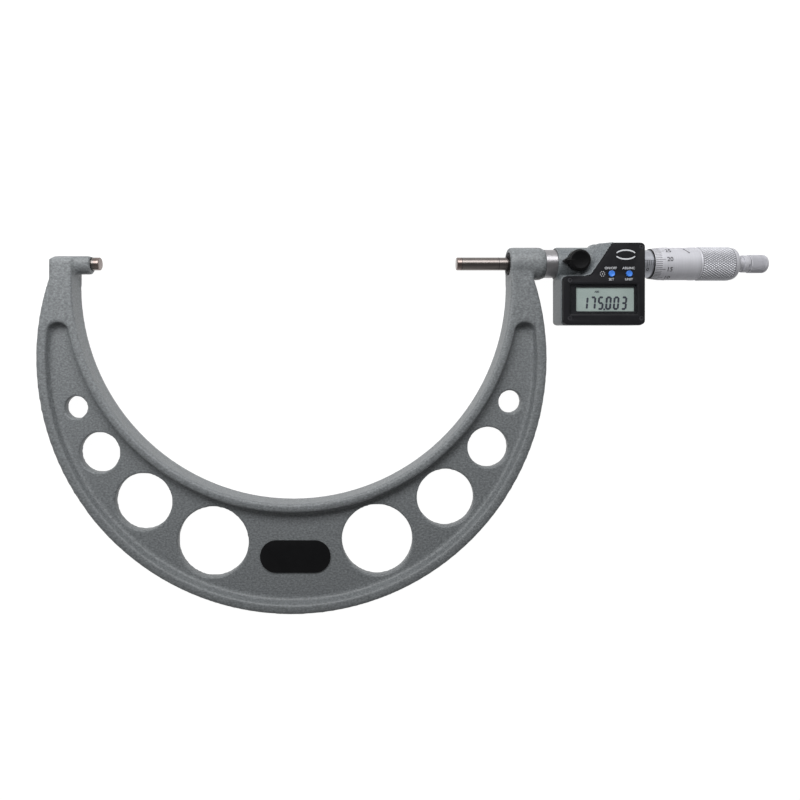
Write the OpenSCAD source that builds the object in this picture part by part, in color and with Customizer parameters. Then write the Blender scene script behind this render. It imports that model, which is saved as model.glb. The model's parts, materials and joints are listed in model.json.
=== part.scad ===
// Digital outside micrometer for 175 to 200 mm, lying on its back with the display up.
// X runs along the spindle from the anvil's face, Y runs from the throat to the spindle,
// Z runs up out of the display. The origin is the centre of the anvil's measuring face.

/* [Measuring range] */
// Distance between the measuring faces with the spindle fully screwed in
face_gap = 175.003; // [150:0.001:200]
// Travel of the spindle from closed to open
travel = 25; // [15:0.5:30]
// How far the fully open spindle still stands out of its boss
boss_clear = 0.2; // [0.1:0.1:2]

/* [Frame casting] */
// Thickness of the frame over its rims
frame_t = 14; // [11:0.5:15.5]
// Thickness of the web between the rims
web_t = 5; // [3:0.5:8]
// Width of the frame's arms beside the throat
side_w = 17.3; // [14:0.5:24]
// Height of the frame's bottom, from the throat to the outer edge
bottom_w = 53.1; // [48:0.1:65]
// How far below the spindle's axis the throat's arc is centred
throat_drop = 10.6; // [4:0.1:16]
// Width of the outer rim's flat top
outer_rim_w = 4.5; // [3:0.1:6]
// Width of the inner rim's flat top
inner_rim_w = 3.8; // [2:0.1:5]
// How much wider each rim is at its foot
rim_draft = 1.2; // [0.4:0.1:2]
// Rounding of the rims' outer edges
edge_r = 1.2; // [0.5:0.1:2]
// How far below the spindle's axis the round ends of the web pockets are centred
pocket_top = 34.4; // [28:0.2:44]

/* [Lightening holes] */
// Diameter of the top hole of each arm
hole_1_d = 11.1; // [6:0.1:13]
// Diameter of the second hole
hole_2_d = 19.8; // [14:0.2:22]
// Diameter of the third hole
hole_3_d = 27.9; // [22:0.1:30]
// Diameter of the bottom hole
hole_4_d = 34.6; // [28:0.1:36]
// Angle of the top hole below level, seen from the throat's centre
hole_1_angle = 28.85; // [27:0.05:30]
// Angle of the second hole
hole_2_angle = 40.3; // [39.5:0.1:41.5]
// Angle of the third hole
hole_3_angle = 54.85; // [54:0.05:56]
// Angle of the bottom hole
hole_4_angle = 72.2; // [71.5:0.1:73]
// Turn of the whole pattern about the throat's centre
pattern_lean = 0.7; // [0:0.1:2]

/* [Name plate] */
// Length of the name plate
plate_l = 34.4; // [24:0.2:44]
// Width of the name plate
plate_w = 15.7; // [10:0.1:20]
// Thickness of the name plate
plate_t = 0.6; // [0.3:0.1:1.2]

/* [Anvil and its head] */
// Diameter of the anvil
anvil_d = 6.35; // [5:0.05:7]
// How far the anvil stands out of its boss
anvil_out = 4; // [3:0.1:12]
// Length of the anvil inside the frame
anvil_in = 11.5; // [6:0.5:14]
// Thickness of the hard tips on the anvil and the spindle
tip_t = 2.5; // [1:0.1:4]
// Diameter of the boss round the anvil
anvil_boss_d = 10.4; // [8.6:0.1:12]
// How far the anvil's boss stands out of the arm
anvil_boss_l = 7.8; // [3:0.1:10]
// Width of the arm's head behind the boss
anvil_head_w = 10.8; // [9:0.2:14]
// Height of the head's flat top above the axis
anvil_head_top = 3.9; // [3.6:0.1:6]
// Rounding of the head's outer corner
anvil_head_r = 2.3; // [1:0.1:3]
// Radius of the head's arched top, seen along the spindle
anvil_arch_r = 11; // [9:0.5:20]

/* [Spindle boss and stem] */
// Diameter of the boss that carries the measuring head
boss_d = 16; // [15.2:0.1:20]
// Length of that boss
boss_l = 16; // [12:0.1:22]
// How far the throat's wall stands behind the boss's front face
boss_proud = 0.4; // [0.2:0.1:2]
// Bore of the boss
boss_bore_d = 12; // [10:0.1:12.8]
// Rounding of the boss's front edge
boss_edge_r = 1.6; // [0.5:0.1:1.8]
// Rounding of the boss's rear edge
boss_rear_r = 0.5; // [0.2:0.1:0.8]
// Length of the painted neck behind the boss
neck_l = 1.5; // [0.8:0.1:3]
// Diameter of the painted neck
neck_d = 14.7; // [14.2:0.1:15.4]
// Diameter of the stem tube
stem_d = 13.9; // [13.4:0.1:14.1]
// Length of the stem tube that shows between the boss and the housing
stem_show = 5.4; // [3:0.1:10]
// Diameter of the boss's mouth, which the wiper seal fills
mouth_d = 10.6; // [9:0.1:11.4]
// Length of the boss's mouth in front of the bore
mouth_l = 0.8; // [0.4:0.1:1.2]
// Length of the wiper seal between the mouth and the stem tube
seal_l = 1.6; // [1:0.1:3]
// Length of each guide bore at the two ends of the stem tube
guide_l = 10.6; // [10:0.2:14]

/* [Spindle] */
// Diameter of the spindle
spindle_d = 6.35; // [5.6:0.05:6.6]
// Diameter of the spindle's screw
screw_d = 7.2; // [6.8:0.1:7.6]
// Length of the nut
nut_l = 12; // [8:0.5:16]
// Width of the keyway along the spindle
key_w = 1.2; // [0.8:0.1:1.6]
// Depth of the keyway
key_depth = 1; // [0.6:0.1:1.4]

/* [Housing] */
// Length of the housing along the spindle
housing_l = 39.8; // [38:0.1:46]
// Diameter of the housing's barrel round the stem
barrel_d = 16; // [15.4:0.1:17]
// How far the barrel stands out in front of the display block
barrel_proud = 0.4; // [0.2:0.1:2]
// Height of the display block's top above the axis
block_top = 9.3; // [8.6:0.05:11]
// Depth of the display block below the axis
block_bottom = 30.3; // [29.6:0.1:36]
// Height of the display's shoulder below the axis
block_step = 6.45; // [6.2:0.05:7]
// Depth of the housing's back below the axis
block_back = 5.5; // [5:0.1:9]
// Bevel round the display block's back
back_bevel = 2; // [0.5:0.1:2.4]
// Thickness of the housing's walls
wall = 1.5; // [1.2:0.1:1.9]
// Width of the ledge that carries the circuit board
ledge_w = 1.3; // [0.8:0.1:1.6]
// Angle of the raised part's slanted edge
slant = 56; // [50:1:64]
// Where the slanted edge meets the display's shoulder, behind the block's front wall
slant_start = 13.2; // [12.6:0.1:14]
// Width of the ramp beside the slanted edge
ramp_w = 4; // [2:0.2:5]
// Radius of the block's small corners
corner_r = 2; // [1:0.1:3]

/* [Front cover and display] */
// Height of the cover's face above the axis
cover_face = 12.4; // [12:0.1:14]
// Thickness of the front cover
cover_t = 2; // [1.6:0.1:2.4]
// Margin of housing that shows round the cover
cover_margin = 0.4; // [0.2:0.05:0.8]
// Thickness of the gasket under the cover
gasket_t = 0.3; // [0.2:0.1:0.6]
// Width of the gasket
gasket_w = 1; // [0.6:0.1:1.2]
// Distance from the window to the cover's rear edge
window_rear = 3.5; // [3.2:0.1:4.4]
// Width of the window
window_w = 14; // [13.4:0.1:14.6]
// Thickness of the window
window_t = 1; // [0.6:0.1:1.1]
// How far the window lies below the cover's face
window_sunk = 0.35; // [0.1:0.05:0.5]
// Slope of the rim round the window, measured along the face
window_slope = 0.9; // [0.3:0.1:1.2]
// Distance from the window's front edge to the part of the display that shows
view_front = 3.35; // [3:0.05:5]
// Distance from the part of the display that shows to the window's rear edge
view_rear = 0.95; // [0.8:0.05:1.4]
// Width of the display that shows
view_w = 11.5; // [10:0.1:12]
// Distance from the block's front wall to the window
window_x = 3.1; // [2.6:0.1:3.4]
// Distance from the display's shoulder to the window
window_y = 4; // [3.8:0.1:4.4]
// How far the display's glass reaches past each end of the part that shows
lcd_overlap = 1.15; // [0.8:0.05:1.2]
// Width of the display's glass
lcd_w = 13.4; // [12.4:0.1:14]
// Thickness of the display's glass
lcd_t = 1.2; // [0.8:0.1:1.4]
// Thickness of the holder round the display's glass
holder_wall = 0.8; // [0.5:0.1:1]
// Height of the contact strips between the board and the glass
strip_h = 1.2; // [0.8:0.1:1.4]
// Thickness of the circuit board
board_t = 0.8; // [0.6:0.1:1]
// Width of the chip under the board
chip_w = 5.2; // [4:0.1:7]
// Height of the chip
chip_t = 1.1; // [0.8:0.1:1.6]
// Diameter of the cover screws' heads
cover_screw_d = 2.2; // [1.6:0.1:2.4]
// Depth of the cover screws' heads
cover_head_t = 0.9; // [0.6:0.1:1.1]
// Diameter of the cover screws' shanks
cover_shank_d = 1.2; // [1:0.1:1.4]
// Length of the cover screws below the head
cover_screw_l = 5; // [3.5:0.1:6]
// Distance from the cover's front edge to its front screws
screw_in_front = 3.1; // [2.6:0.1:3.4]
// Distance from the cover's rear edge to its rear screws
screw_in_rear = 1.6; // [1.6:0.05:2.2]

/* [Buttons] */
// Diameter of the push buttons
button_d = 2.9; // [2.4:0.1:3.4]
// How far the buttons stand out of the cover
button_out = 0.7; // [0.6:0.1:1.2]
// Travel of the buttons
button_travel = 0.5; // [0.3:0.1:0.6]
// Distance between the buttons
button_pitch = 8.3; // [7:0.1:9]
// Distance from the cover's rear edge to the nearer button
button_in = 7.5; // [7:0.1:8.5]
// Height of the buttons above the display's shoulder
button_rise = 1.05; // [0.8:0.05:1.3]
// Radius of the dish in the buttons' tops
dish_r = 4.4; // [3:0.1:8]
// Depth of the dish
dish = 0.2; // [0.1:0.05:0.3]
// How much narrower the buttons' stems are, on the radius
stem_in = 0.3; // [0.2:0.05:0.5]
// Thickness of the rubber mat under the buttons
mat_floor = 0.5; // [0.3:0.1:0.8]

/* [Spindle lock] */
// Distance from the barrel's front end to the lock
lock_back = 8.8; // [7.6:0.1:9.2]
// How far the lock stands above the spindle's axis
lock_offset = 0.8; // [0:0.1:0.8]
// Diameter of the lock lever's cap
lever_d = 10.4; // [9:0.1:11.2]
// Height of the lock lever's cap
lever_h = 4; // [3:0.1:5]
// Rounding of the cap's upper edge
lever_edge_r = 1; // [0.5:0.1:1.5]
// How much lower the beak is than the cap
beak_drop = 0.3; // [0.1:0.1:1]
// Reach of the lever's beak from the lock's axis
beak_reach = 7.3; // [6.6:0.1:7.9]
// Radius of the beak's tip
beak_r = 0.9; // [0.6:0.1:1.4]
// How far the beak's tip lies below the lock's axis
beak_low = 0.3; // [0:0.1:0.6]
// Radius of the beak where it runs into the cap
beak_root_r = 2.6; // [2:0.1:3.4]
// Diameter of the lock's shaft
lock_shaft_d = 4; // [3:0.1:4.4]
// Height of the pad that the lever turns on, above the axis
lock_pad = 8.6; // [8.5:0.1:9.2]

/* [Battery] */
// Diameter of the button cell
battery_d = 11.6; // [9:0.1:12]
// Height of the button cell
battery_h = 5.4; // [3.6:0.1:5.6]
// Distance from the block's front wall to the battery's centre
battery_x = 19.3; // [16:0.1:22]
// Distance from the axis down to the battery's centre
battery_y = 19.2; // [18.8:0.1:19.6]
// Diameter of the battery cap
cap_d = 14.6; // [14:0.1:15]
// Thickness of the battery cap
cap_t = 1.5; // [1.2:0.1:1.8]
// How far the battery cap lies inside the housing's back
cap_sunk = 0.2; // [0.1:0.1:0.5]
// Width of the coin slot in the cap
coin_slot_w = 1.4; // [1:0.1:2]

/* [Encoder] */
// Thickness of the encoder's fixed disc
stator_t = 1.2; // [0.8:0.1:1.6]
// Thickness of the encoder's turning disc
rotor_t = 1; // [0.6:0.1:1.4]
// Diameter of the encoder's turning disc
rotor_d = 13; // [12:0.1:13.2]
// Length of the rotor's hub
hub_l = 5.4; // [4:0.1:6.4]
// Diameter of the rotor's hub
hub_d = 10; // [9.4:0.1:11]
// Thickness of the spring washer behind the rotor
washer_t = 0.5; // [0.3:0.1:0.8]

/* [Sleeve and thimble] */
// Length of the graduated sleeve that shows with the spindle closed
sleeve_show = 6.5; // [3:0.1:10]
// Diameter of the graduated sleeve
sleeve_d = 13.6; // [13.2:0.05:13.7]
// Wall of the graduated sleeve
sleeve_wall = 0.7; // [0.5:0.05:0.8]
// Length of the adjusting nut
adjuster_l = 3.9; // [3:0.1:6]
// Gap between the thimble's bore and the sleeve, on the radius
thimble_gap = 0.15; // [0.1:0.05:0.25]
// Diameter of the thimble's plain part
thimble_d = 15.9; // [15.4:0.1:16.6]
// Diameter of the thimble's front edge
thimble_edge_d = 14.6; // [14.4:0.1:15]
// Length of the thimble's front bevel
bevel_l = 5.2; // [3:0.1:7]
// Diameter over the knurling
knurl_d = 16.6; // [16.2:0.1:17.2]
// Length of the knurling
knurl_l = 16; // [10:0.1:18]
// Length of the thimble's seat on the spindle's taper
seat_l = 6.4; // [5:0.1:10]
// Length of the thimble behind its seat
thimble_end_l = 4.2; // [3.4:0.1:9]
// Rounding of the thimble's rear edge
thimble_end_r = 2.8; // [1:0.1:3]

/* [Ratchet stop] */
// Diameter of the ratchet's neck
ratchet_neck_d = 7; // [6.4:0.1:7.8]
// Length of the neck that shows
ratchet_neck_l = 3.5; // [1.6:0.1:4]
// Diameter of the ratchet's flange
ratchet_flange_d = 8.4; // [7.8:0.1:8.7]
// Length of the flange
ratchet_flange_l = 2.8; // [2:0.1:4]
// Diameter of the ratchet's knob
knob_d = 8.9; // [8.4:0.05:10]
// Length of the knob
knob_l = 8.7; // [6.5:0.1:12]
// Rounding of the knob's end
knob_r = 1.5; // [0.6:0.1:1.8]
// Diameter of the ratchet's screw
ratchet_screw_d = 2.5; // [2:0.1:3]

/* [Fits] */
// Running clearance on the radius of the turning and sliding pieces
run = 0.03; // [0.02:0.01:0.05]
// Clearance between pieces that are only laid together
play = 0.1; // [0.05:0.01:0.15]
// Gap between faces that turn past each other
turn_gap = 0.3; // [0.2:0.05:0.4]

/* [Hidden] */
$fn = 96;
cut = 1;
big_fn = 240;

// How far the round ends of the web pockets reach into the rims
end_overlap = 0.3;
// Depth of the head block below the axis, inside the arm
head_depth = 16;
// How far the anvil's boss runs back into the head
boss_root = 7;
// Sizes inside the measuring head
tube_end_l = 4.8;
relief = 0.5;
sleeve_spare = 1.5;
screw_spare = 3;
sleeve_seat = 2;
slot_w = 1.2;
adjuster_step = 1;
seat_taper = 1;
thimble_floor = 0.8;

// Places along the spindle
anvil_boss_x = -anvil_out;
arm_x = anvil_boss_x - anvil_boss_l;
head_x = arm_x - anvil_head_w;
boss_x = face_gap + travel + boss_clear;
boss_end_x = boss_x + boss_l;
neck_end_x = boss_end_x + neck_l;
house_x = neck_end_x + stem_show;
block_x = house_x + barrel_proud;
house_end_x = house_x + housing_l;
lock_x = house_x + lock_back;
bore_x = boss_x + mouth_l;
stem_x = bore_x + seal_l;
stem_end_x = lock_x + tube_end_l;
rotor_x = stem_end_x + stator_t + turn_gap;
hub_x = rotor_x + rotor_t;
washer_x = hub_x + hub_l;
inner_x = washer_x + washer_t + turn_gap;
thimble_x = house_end_x + sleeve_show;
sleeve_end_x = thimble_x + travel + sleeve_spare;
adjuster_x = sleeve_end_x + turn_gap;
inner_end_x = adjuster_x + adjuster_l;
nut_x = inner_end_x - nut_l;
screw_x = nut_x - travel - screw_spare;
seat_x = inner_end_x + thimble_floor;
seat_end_x = seat_x + seat_l;
thimble_end_x = seat_end_x + thimble_end_l;
knurl_x = thimble_end_x - thimble_end_r - knurl_l;
flange_x = thimble_end_x + ratchet_neck_l;
flange_end_x = flange_x + ratchet_flange_l;
knob_x = flange_end_x + turn_gap;
knob_end_x = knob_x + knob_l;

// Throat and outer arc of the frame
throat_x0 = arm_x;
throat_x1 = boss_x + boss_proud;
throat_r = (throat_x1 - throat_x0) / 2;
throat_x = (throat_x1 + throat_x0) / 2;
throat_y = -throat_drop;
outer_r = throat_r + side_w;
outer_y = throat_y - throat_r - bottom_w + outer_r;
pocket_depth = (frame_t - web_t) / 2;
arc_drop = throat_y - outer_y;
outer_foot_r = outer_r - outer_rim_w - rim_draft;
inner_foot_r = throat_r + inner_rim_w + rim_draft;
left_arc = 180 - acos((throat_x - head_x) / outer_r);
right_arc = asin((-boss_d / 2 - outer_y) / outer_r);
cap_outer = sqrt(pow(outer_r - outer_rim_w, 2) - pow(-pocket_top - outer_y, 2));
cap_inner = sqrt(pow(throat_r + inner_rim_w, 2) - pow(-pocket_top - throat_y, 2));
cap_mid = (cap_outer + cap_inner) / 2;
cap_end_r = (cap_outer - cap_inner) / 2 + end_overlap;

// Radii of the measuring head
anvil_rad = anvil_d / 2;
spindle_rad = spindle_d / 2;
guide_rad = spindle_rad + run;
relief_rad = spindle_rad + relief;
stem_rad = stem_d / 2;
boss_bore_rad = boss_bore_d / 2;
mouth_rad = mouth_d / 2;
seal_lip_in = 0.5;
seal_lip_w = 0.8;
screw_rad = screw_d / 2;
barrel_rad = barrel_d / 2;
sleeve_rad = sleeve_d / 2;
inner_rad = sleeve_rad - sleeve_wall;
adjuster_in_rad = inner_rad - adjuster_step;
thimble_bore = sleeve_rad + thimble_gap;
ratchet_hole = ratchet_screw_d / 2;
seat_rad = screw_rad - seat_taper;

// Ratchet stop
seat_gap = 1;
stop_head_x = knob_x + 3.2;
stop_head_end_x = stop_head_x + 1.6;
stop_head_rad = ratchet_hole + 1.2;
head_clear = 0.4;
head_slot_w = 0.6;
head_slot_depth = 0.8;
spring_wire = 0.7;
key_hole_d = 1;
key_hole_turn = 44;
key_hole_floor = 0.6;
flange_edge = 0.3;
flange_slot_turn = 21;
flange_slot_in = 0.8;
flange_slot_w = 0.6;
flange_slot_l = 2;
flange_slot_t = 0.7;

// Display block, cover and what lies under it
cover_x = block_x + cover_margin;
cover_rear = house_end_x - cover_margin;
cover_y = -block_bottom + cover_margin;
cover_top = block_top - cover_margin;
cover_step = -block_step - cover_margin;
cover_back = cover_face - cover_t;
rim_z = cover_back - gasket_t;
lcd_z = cover_back - lcd_t;
board_face = lcd_z - strip_h;
board_z = board_face - board_t;
window_l = cover_rear - cover_x - window_x - window_rear;
window_mid = [cover_x + window_x + window_l / 2, cover_step - window_y - window_w / 2];
view_l = window_l - view_front - view_rear;
view_mid = window_mid + [(view_front - view_rear) / 2, 0];
lcd_l = view_l + 2 * lcd_overlap;
strip_w = 1.2;
strip_in = 0.2;
strip_end = 1;
window_floor = cover_face - window_sunk - window_t;
board_top_y = -sqrt(pow(barrel_rad + play, 2) - pow(board_z, 2));
screw_in_bottom = 3;
screw_in_top = 2;
post_wall = 0.9;
cover_screws_at = [
    [cover_x + screw_in_front, cover_y + screw_in_bottom],
    [cover_x + screw_in_front, cover_step - screw_in_top],
    [cover_rear - screw_in_rear, cover_y + screw_in_bottom],
    [cover_rear - screw_in_rear, cover_top - screw_in_top]
];
post_r = cover_shank_d / 2 + post_wall;
button_y = cover_step + button_rise;
unit_x = cover_rear - button_in;
power_x = unit_x - button_pitch;
mat_t = cover_back - board_face;
mat_end = 0.7;
mat_in = 0.1;
mat_r = 0.8;

// Shoulder between the barrel and the block's top
shoulder_h = 6;
shoulder_r = 3;
shoulder_in = 1;
shoulder_top = barrel_rad - 0.4;

// Battery, from the back inwards
cell_x = block_x + battery_x;
cell_y = -battery_y;
cap_z = -block_back + cap_sunk;
cell_z = cap_z + cap_t;
contact_z = cell_z + battery_h;
spring_room = 0.7;
cup_floor_t = 0.8;
cup_wall = 1;
cup_floor_z = contact_z + spring_room;
cup_top_z = cup_floor_z + cup_floor_t;
cup_rad = cap_d / 2 + cup_wall;
cell_bore = battery_d / 2 + play;

// Lock
lock_y = lock_offset;
lever_z = lock_pad + 0.15;
lock_shaft_rad = lock_shaft_d / 2;
shoe_z = spindle_rad + play;
shoe_top = shoe_z + 1.3;

// A turned piece along the spindle, from points of radius and place
module turned(points) {
    rotate([0, 90, 0]) rotate_extrude() polygon(points);
}

// A plain round bar along the spindle
module bar(x0, x1, r) {
    translate([x0, 0, 0]) rotate([0, 90, 0]) cylinder(h = x1 - x0, r = r);
}

// A ring along the spindle
module ring(x0, x1, r_in, r_out) {
    turned([[r_in, x0], [r_out, x0], [r_out, x1], [r_in, x1]]);
}

// What a round edge of radius r takes off a bar's end, pointing along X
module edge_cutter(x, r_bar, r, dir) {
    rotate([0, 90, 0]) rotate_extrude() difference() {
        translate([r_bar - r, dir > 0 ? x - r : x]) square([r + cut, r]);
        translate([r_bar - r, x - dir * r]) circle(r = r);
    }
}

// A plate with round corners, standing on z
module slab(z, h, size, r) {
    translate([0, 0, z]) linear_extrude(h) rounded_box(size, r);
}

module rounded_box(size, r) {
    offset(r) square(size - [2 * r, 2 * r], center = true);
}

// Distance from the throat's centre to the foot of the outer rim
function to_outer_foot(a) = arc_drop * sin(a) + sqrt(pow(outer_foot_r, 2) - pow(arc_drop * cos(a), 2));

// Place midway between the rims, at an angle below level, side -1 or 1
function between_rims(a, side) =
    let (lean = a - side * pattern_lean, mid = (inner_foot_r + to_outer_foot(lean)) / 2)
    [throat_x + side * mid * cos(lean), throat_y - mid * sin(lean)];

plate_at = between_rims(90, 1);
holes = [
    [hole_1_angle, hole_1_d], [hole_2_angle, hole_2_d],
    [hole_3_angle, hole_3_d], [hole_4_angle, hole_4_d]
];

// Outline of the C-shaped frame, with the anvil's head
module frame_outline() {
    difference() {
        union() {
            intersection() {
                translate([throat_x, outer_y]) circle(r = outer_r, $fn = big_fn);
                translate([throat_x - outer_r, outer_y - outer_r])
                    square([2 * outer_r, outer_r - outer_y]);
            }
            translate([head_x, -head_depth]) square([anvil_head_w, head_depth + anvil_head_top]);
        }
        translate([throat_x, throat_y]) circle(r = throat_r, $fn = big_fn);
        translate([throat_x - throat_r, throat_y]) square([2 * throat_r, outer_r]);
        translate([head_x, anvil_head_top - anvil_head_r]) difference() {
            translate([-cut, 0]) square([anvil_head_r + cut, anvil_head_r + cut]);
            translate([anvil_head_r, 0]) circle(r = anvil_head_r);
        }
    }
}

// What takes the sharp edge off an arc of the frame, on its front or its back
module arc_edge(r, start, angle, outside) {
    rotate([0, 0, start]) rotate_extrude(angle = angle, $fn = big_fn) difference() {
        translate([outside ? r - edge_r : r - cut, frame_t / 2 - edge_r])
            square([edge_r + cut, edge_r + cut]);
        translate([outside ? r - edge_r : r + edge_r, frame_t / 2 - edge_r]) circle(r = edge_r);
    }
}

module frame_edges() {
    translate([throat_x, outer_y, 0])
        arc_edge(outer_r, left_arc, 360 - left_arc + right_arc, true);
    translate([throat_x, throat_y, 0])
        arc_edge(throat_r, 180, 180, false);
}

// A cone frustum that stands on the web and widens by draft up to the rims' tops
module drafted(r_foot, draft) {
    h = pocket_depth + cut;
    translate([0, 0, web_t / 2])
        cylinder(h = h, r1 = r_foot, r2 = r_foot + draft * h / pocket_depth, $fn = big_fn);
}

// The pocket in one face of the web, with round ends in the two arms
module pocket() {
    intersection() {
        difference() {
            translate([throat_x, outer_y, 0]) drafted(outer_foot_r, rim_draft);
            translate([throat_x, throat_y, 0]) drafted(inner_foot_r, -rim_draft);
        }
        union() {
            translate([throat_x - outer_r, outer_y - outer_r, 0])
                cube([2 * outer_r, outer_r - outer_y - pocket_top, frame_t]);
            for (side = [-1, 1])
                translate([throat_x + side * cap_mid, -pocket_top, 0])
                    drafted(cap_end_r - rim_draft, rim_draft);
        }
    }
}

module frame_casting() {
    color([0.45, 0.46, 0.47]) difference() {
        union() {
            difference() {
                translate([0, 0, -frame_t / 2]) linear_extrude(frame_t) frame_outline();
                for (m = [0, 1]) mirror([0, 0, m]) {
                    pocket();
                    frame_edges();
                }
                head_arch();
                for (h = holes, side = [-1, 1])
                    translate([each between_rims(h[0], side), -frame_t])
                        cylinder(h = 2 * frame_t, d = h[1]);
            }
            anvil_boss();
            spindle_boss();
        }
        bar(-anvil_out - anvil_in, cut, anvil_rad);
        bar(boss_x - cut, bore_x + cut, mouth_rad);
        bar(bore_x, neck_end_x + cut, boss_bore_rad);
    }
}

// What makes the head's top an arch from face to face
module head_arch() {
    translate([0, anvil_head_top - anvil_arch_r, 0]) difference() {
        translate([head_x - cut, 0, -frame_t])
            cube([anvil_head_w + 2 * cut, anvil_arch_r + cut, 2 * frame_t]);
        bar(head_x - 2 * cut, arm_x + 2 * cut, anvil_arch_r);
    }
}

// Boss round the anvil, flush with the top of the head
module anvil_boss() {
    intersection() {
        difference() {
            bar(arm_x - boss_root, anvil_boss_x, anvil_boss_d / 2);
            edge_cutter(anvil_boss_x, anvil_boss_d / 2, cut, 1);
        }
        bar_at_top(head_x, anvil_boss_x, anvil_arch_r);
    }
}

// A bar along the spindle whose top is level with the top of the head
module bar_at_top(x0, x1, r) {
    translate([0, anvil_head_top - r, 0]) bar(x0, x1, r);
}

module spindle_boss() {
    difference() {
        bar(boss_x, boss_end_x, boss_d / 2);
        edge_cutter(boss_x, boss_d / 2, boss_edge_r, -1);
        edge_cutter(boss_end_x, boss_d / 2, boss_rear_r, 1);
    }
    bar(boss_end_x - cut, neck_end_x, neck_d / 2);
}

module name_plate() {
    color([0.05, 0.05, 0.06]) translate([each plate_at, 0])
        slab(web_t / 2, plate_t, [plate_l, plate_w], plate_w / 2 - 0.01);
}

module anvil() {
    color([0.75, 0.74, 0.72]) bar(-anvil_out - anvil_in, -tip_t, anvil_rad);
}

module anvil_tip() {
    color([0.6, 0.6, 0.62]) turned([
        [0, -tip_t], [anvil_rad, -tip_t], [anvil_rad, -0.3], [anvil_rad - 0.3, 0], [0, 0]
    ]);
}

module wiper_seal() {
    color([0.06, 0.06, 0.06]) turned([
        [guide_rad + play, boss_x + seal_lip_in], [guide_rad + seal_lip_w, boss_x],
        [mouth_rad, boss_x], [mouth_rad, bore_x], [boss_bore_rad, bore_x],
        [boss_bore_rad, stem_x], [guide_rad + play, stem_x]
    ]);
}

module stem_tube() {
    color([0.78, 0.78, 0.79]) difference() {
        turned([
            [guide_rad, stem_x], [boss_bore_rad, stem_x],
            [boss_bore_rad, neck_end_x], [stem_rad, neck_end_x],
            [stem_rad, stem_end_x], [guide_rad, stem_end_x], [guide_rad, stem_end_x - guide_l],
            [relief_rad, stem_end_x - guide_l], [relief_rad, stem_x + guide_l],
            [guide_rad, stem_x + guide_l]
        ]);
        translate([lock_x, lock_y, 0]) cylinder(h = stem_rad + cut, r = lock_shaft_rad + run);
    }
}

// Outline of the cover, drawn at the display block's size less a margin
module cover_outline(margin) {
    low = -block_bottom + margin;
    step = -block_step - margin;
    top = block_top - margin;
    x0 = block_x + margin;
    x1 = house_end_x - margin;
    foot = block_x + slant_start;
    lift = margin / cos(90 - slant);
    offset(-corner_r) offset(2 * corner_r) offset(-corner_r) polygon([
        [x0, low], [x1, low], [x1, top],
        [foot + lift + (top + block_step) / tan(slant), top],
        [foot + lift + (step + block_step) / tan(slant), step], [x0, step]
    ]);
}

// Ramp that rises from the barrel to the raised part's slanted edge
module ramp() {
    intersection() {
        translate([block_x + slant_start, -block_step, 0]) rotate([0, 0, slant])
            rotate([90, 0, 90]) linear_extrude(2 * block_bottom, center = true)
                polygon([
                    [-1, -block_back], [-1, rim_z], [0, rim_z],
                    [ramp_w, barrel_rad - 1], [ramp_w, -block_back]
                ]);
        translate([house_x, -block_step, -block_back + back_bevel])
            cube([housing_l, block_step + block_top, block_back + rim_z - back_bevel]);
    }
}

// Smooth shoulder from the barrel's side up to the block's top
module shoulder() {
    translate([0, 0, -shoulder_h / 2]) linear_extrude(shoulder_h)
        offset(-shoulder_r) offset(shoulder_r) intersection() {
            union() {
                translate([house_x + shoulder_in, 0]) square([housing_l - shoulder_in, shoulder_top]);
                translate([block_x + slant_start + block_step / tan(slant), 0])
                    square([house_end_x - block_x - slant_start - block_step / tan(slant), block_top]);
            }
            translate([house_x, 0]) square([housing_l, block_top]);
        }
}

// What bevels the block's back along its front, rear and lower walls
module back_bevels() {
    bevel = [[-cut, -cut], [back_bevel + cut, -cut], [-cut, back_bevel + cut]];
    for (side = [0, 1])
        translate([side * house_end_x + (1 - side) * block_x, 0, -block_back]) mirror([side, 0, 0])
            rotate([90, 0, 0]) linear_extrude(3 * block_bottom, center = true) polygon(bevel);
    translate([house_x - cut, -block_bottom, -block_back])
        rotate([90, 0, 90]) linear_extrude(housing_l + 2 * cut) polygon(bevel);
}

module housing_body() {
    difference() {
        bar(house_x, house_end_x, barrel_rad);
        edge_cutter(house_x, barrel_rad, 0.8, -1);
    }
    difference() {
        translate([0, 0, -block_back]) linear_extrude(block_back + rim_z) cover_outline(0);
        back_bevels();
    }
    ramp();
    shoulder();
    translate([lock_x, lock_y, 0]) cylinder(h = lock_pad, r = lever_d / 2 - 1.2);
}

// Room for the electronics, with a ledge for the board and posts for the cover screws
module housing_room() {
    difference() {
        union() {
            translate([0, 0, -block_back + wall]) linear_extrude(board_z + block_back - wall)
                room_outline(wall + ledge_w);
            translate([0, 0, board_z]) linear_extrude(cut + rim_z - board_z) room_outline(wall);
        }
        bar(house_x, house_end_x, barrel_rad);
        for (p = cover_screws_at)
            translate([each p, -block_back]) cylinder(h = block_back + cover_face, r = post_r);
        translate([cell_x, cell_y, -block_back]) cylinder(h = cup_top_z + block_back, r = cup_rad);
    }
}

module room_outline(inset) {
    intersection() {
        offset(-inset) cover_outline(0);
        translate([house_x, -block_bottom - cut]) square([housing_l, block_bottom + cut + board_top_y]);
    }
}

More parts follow.
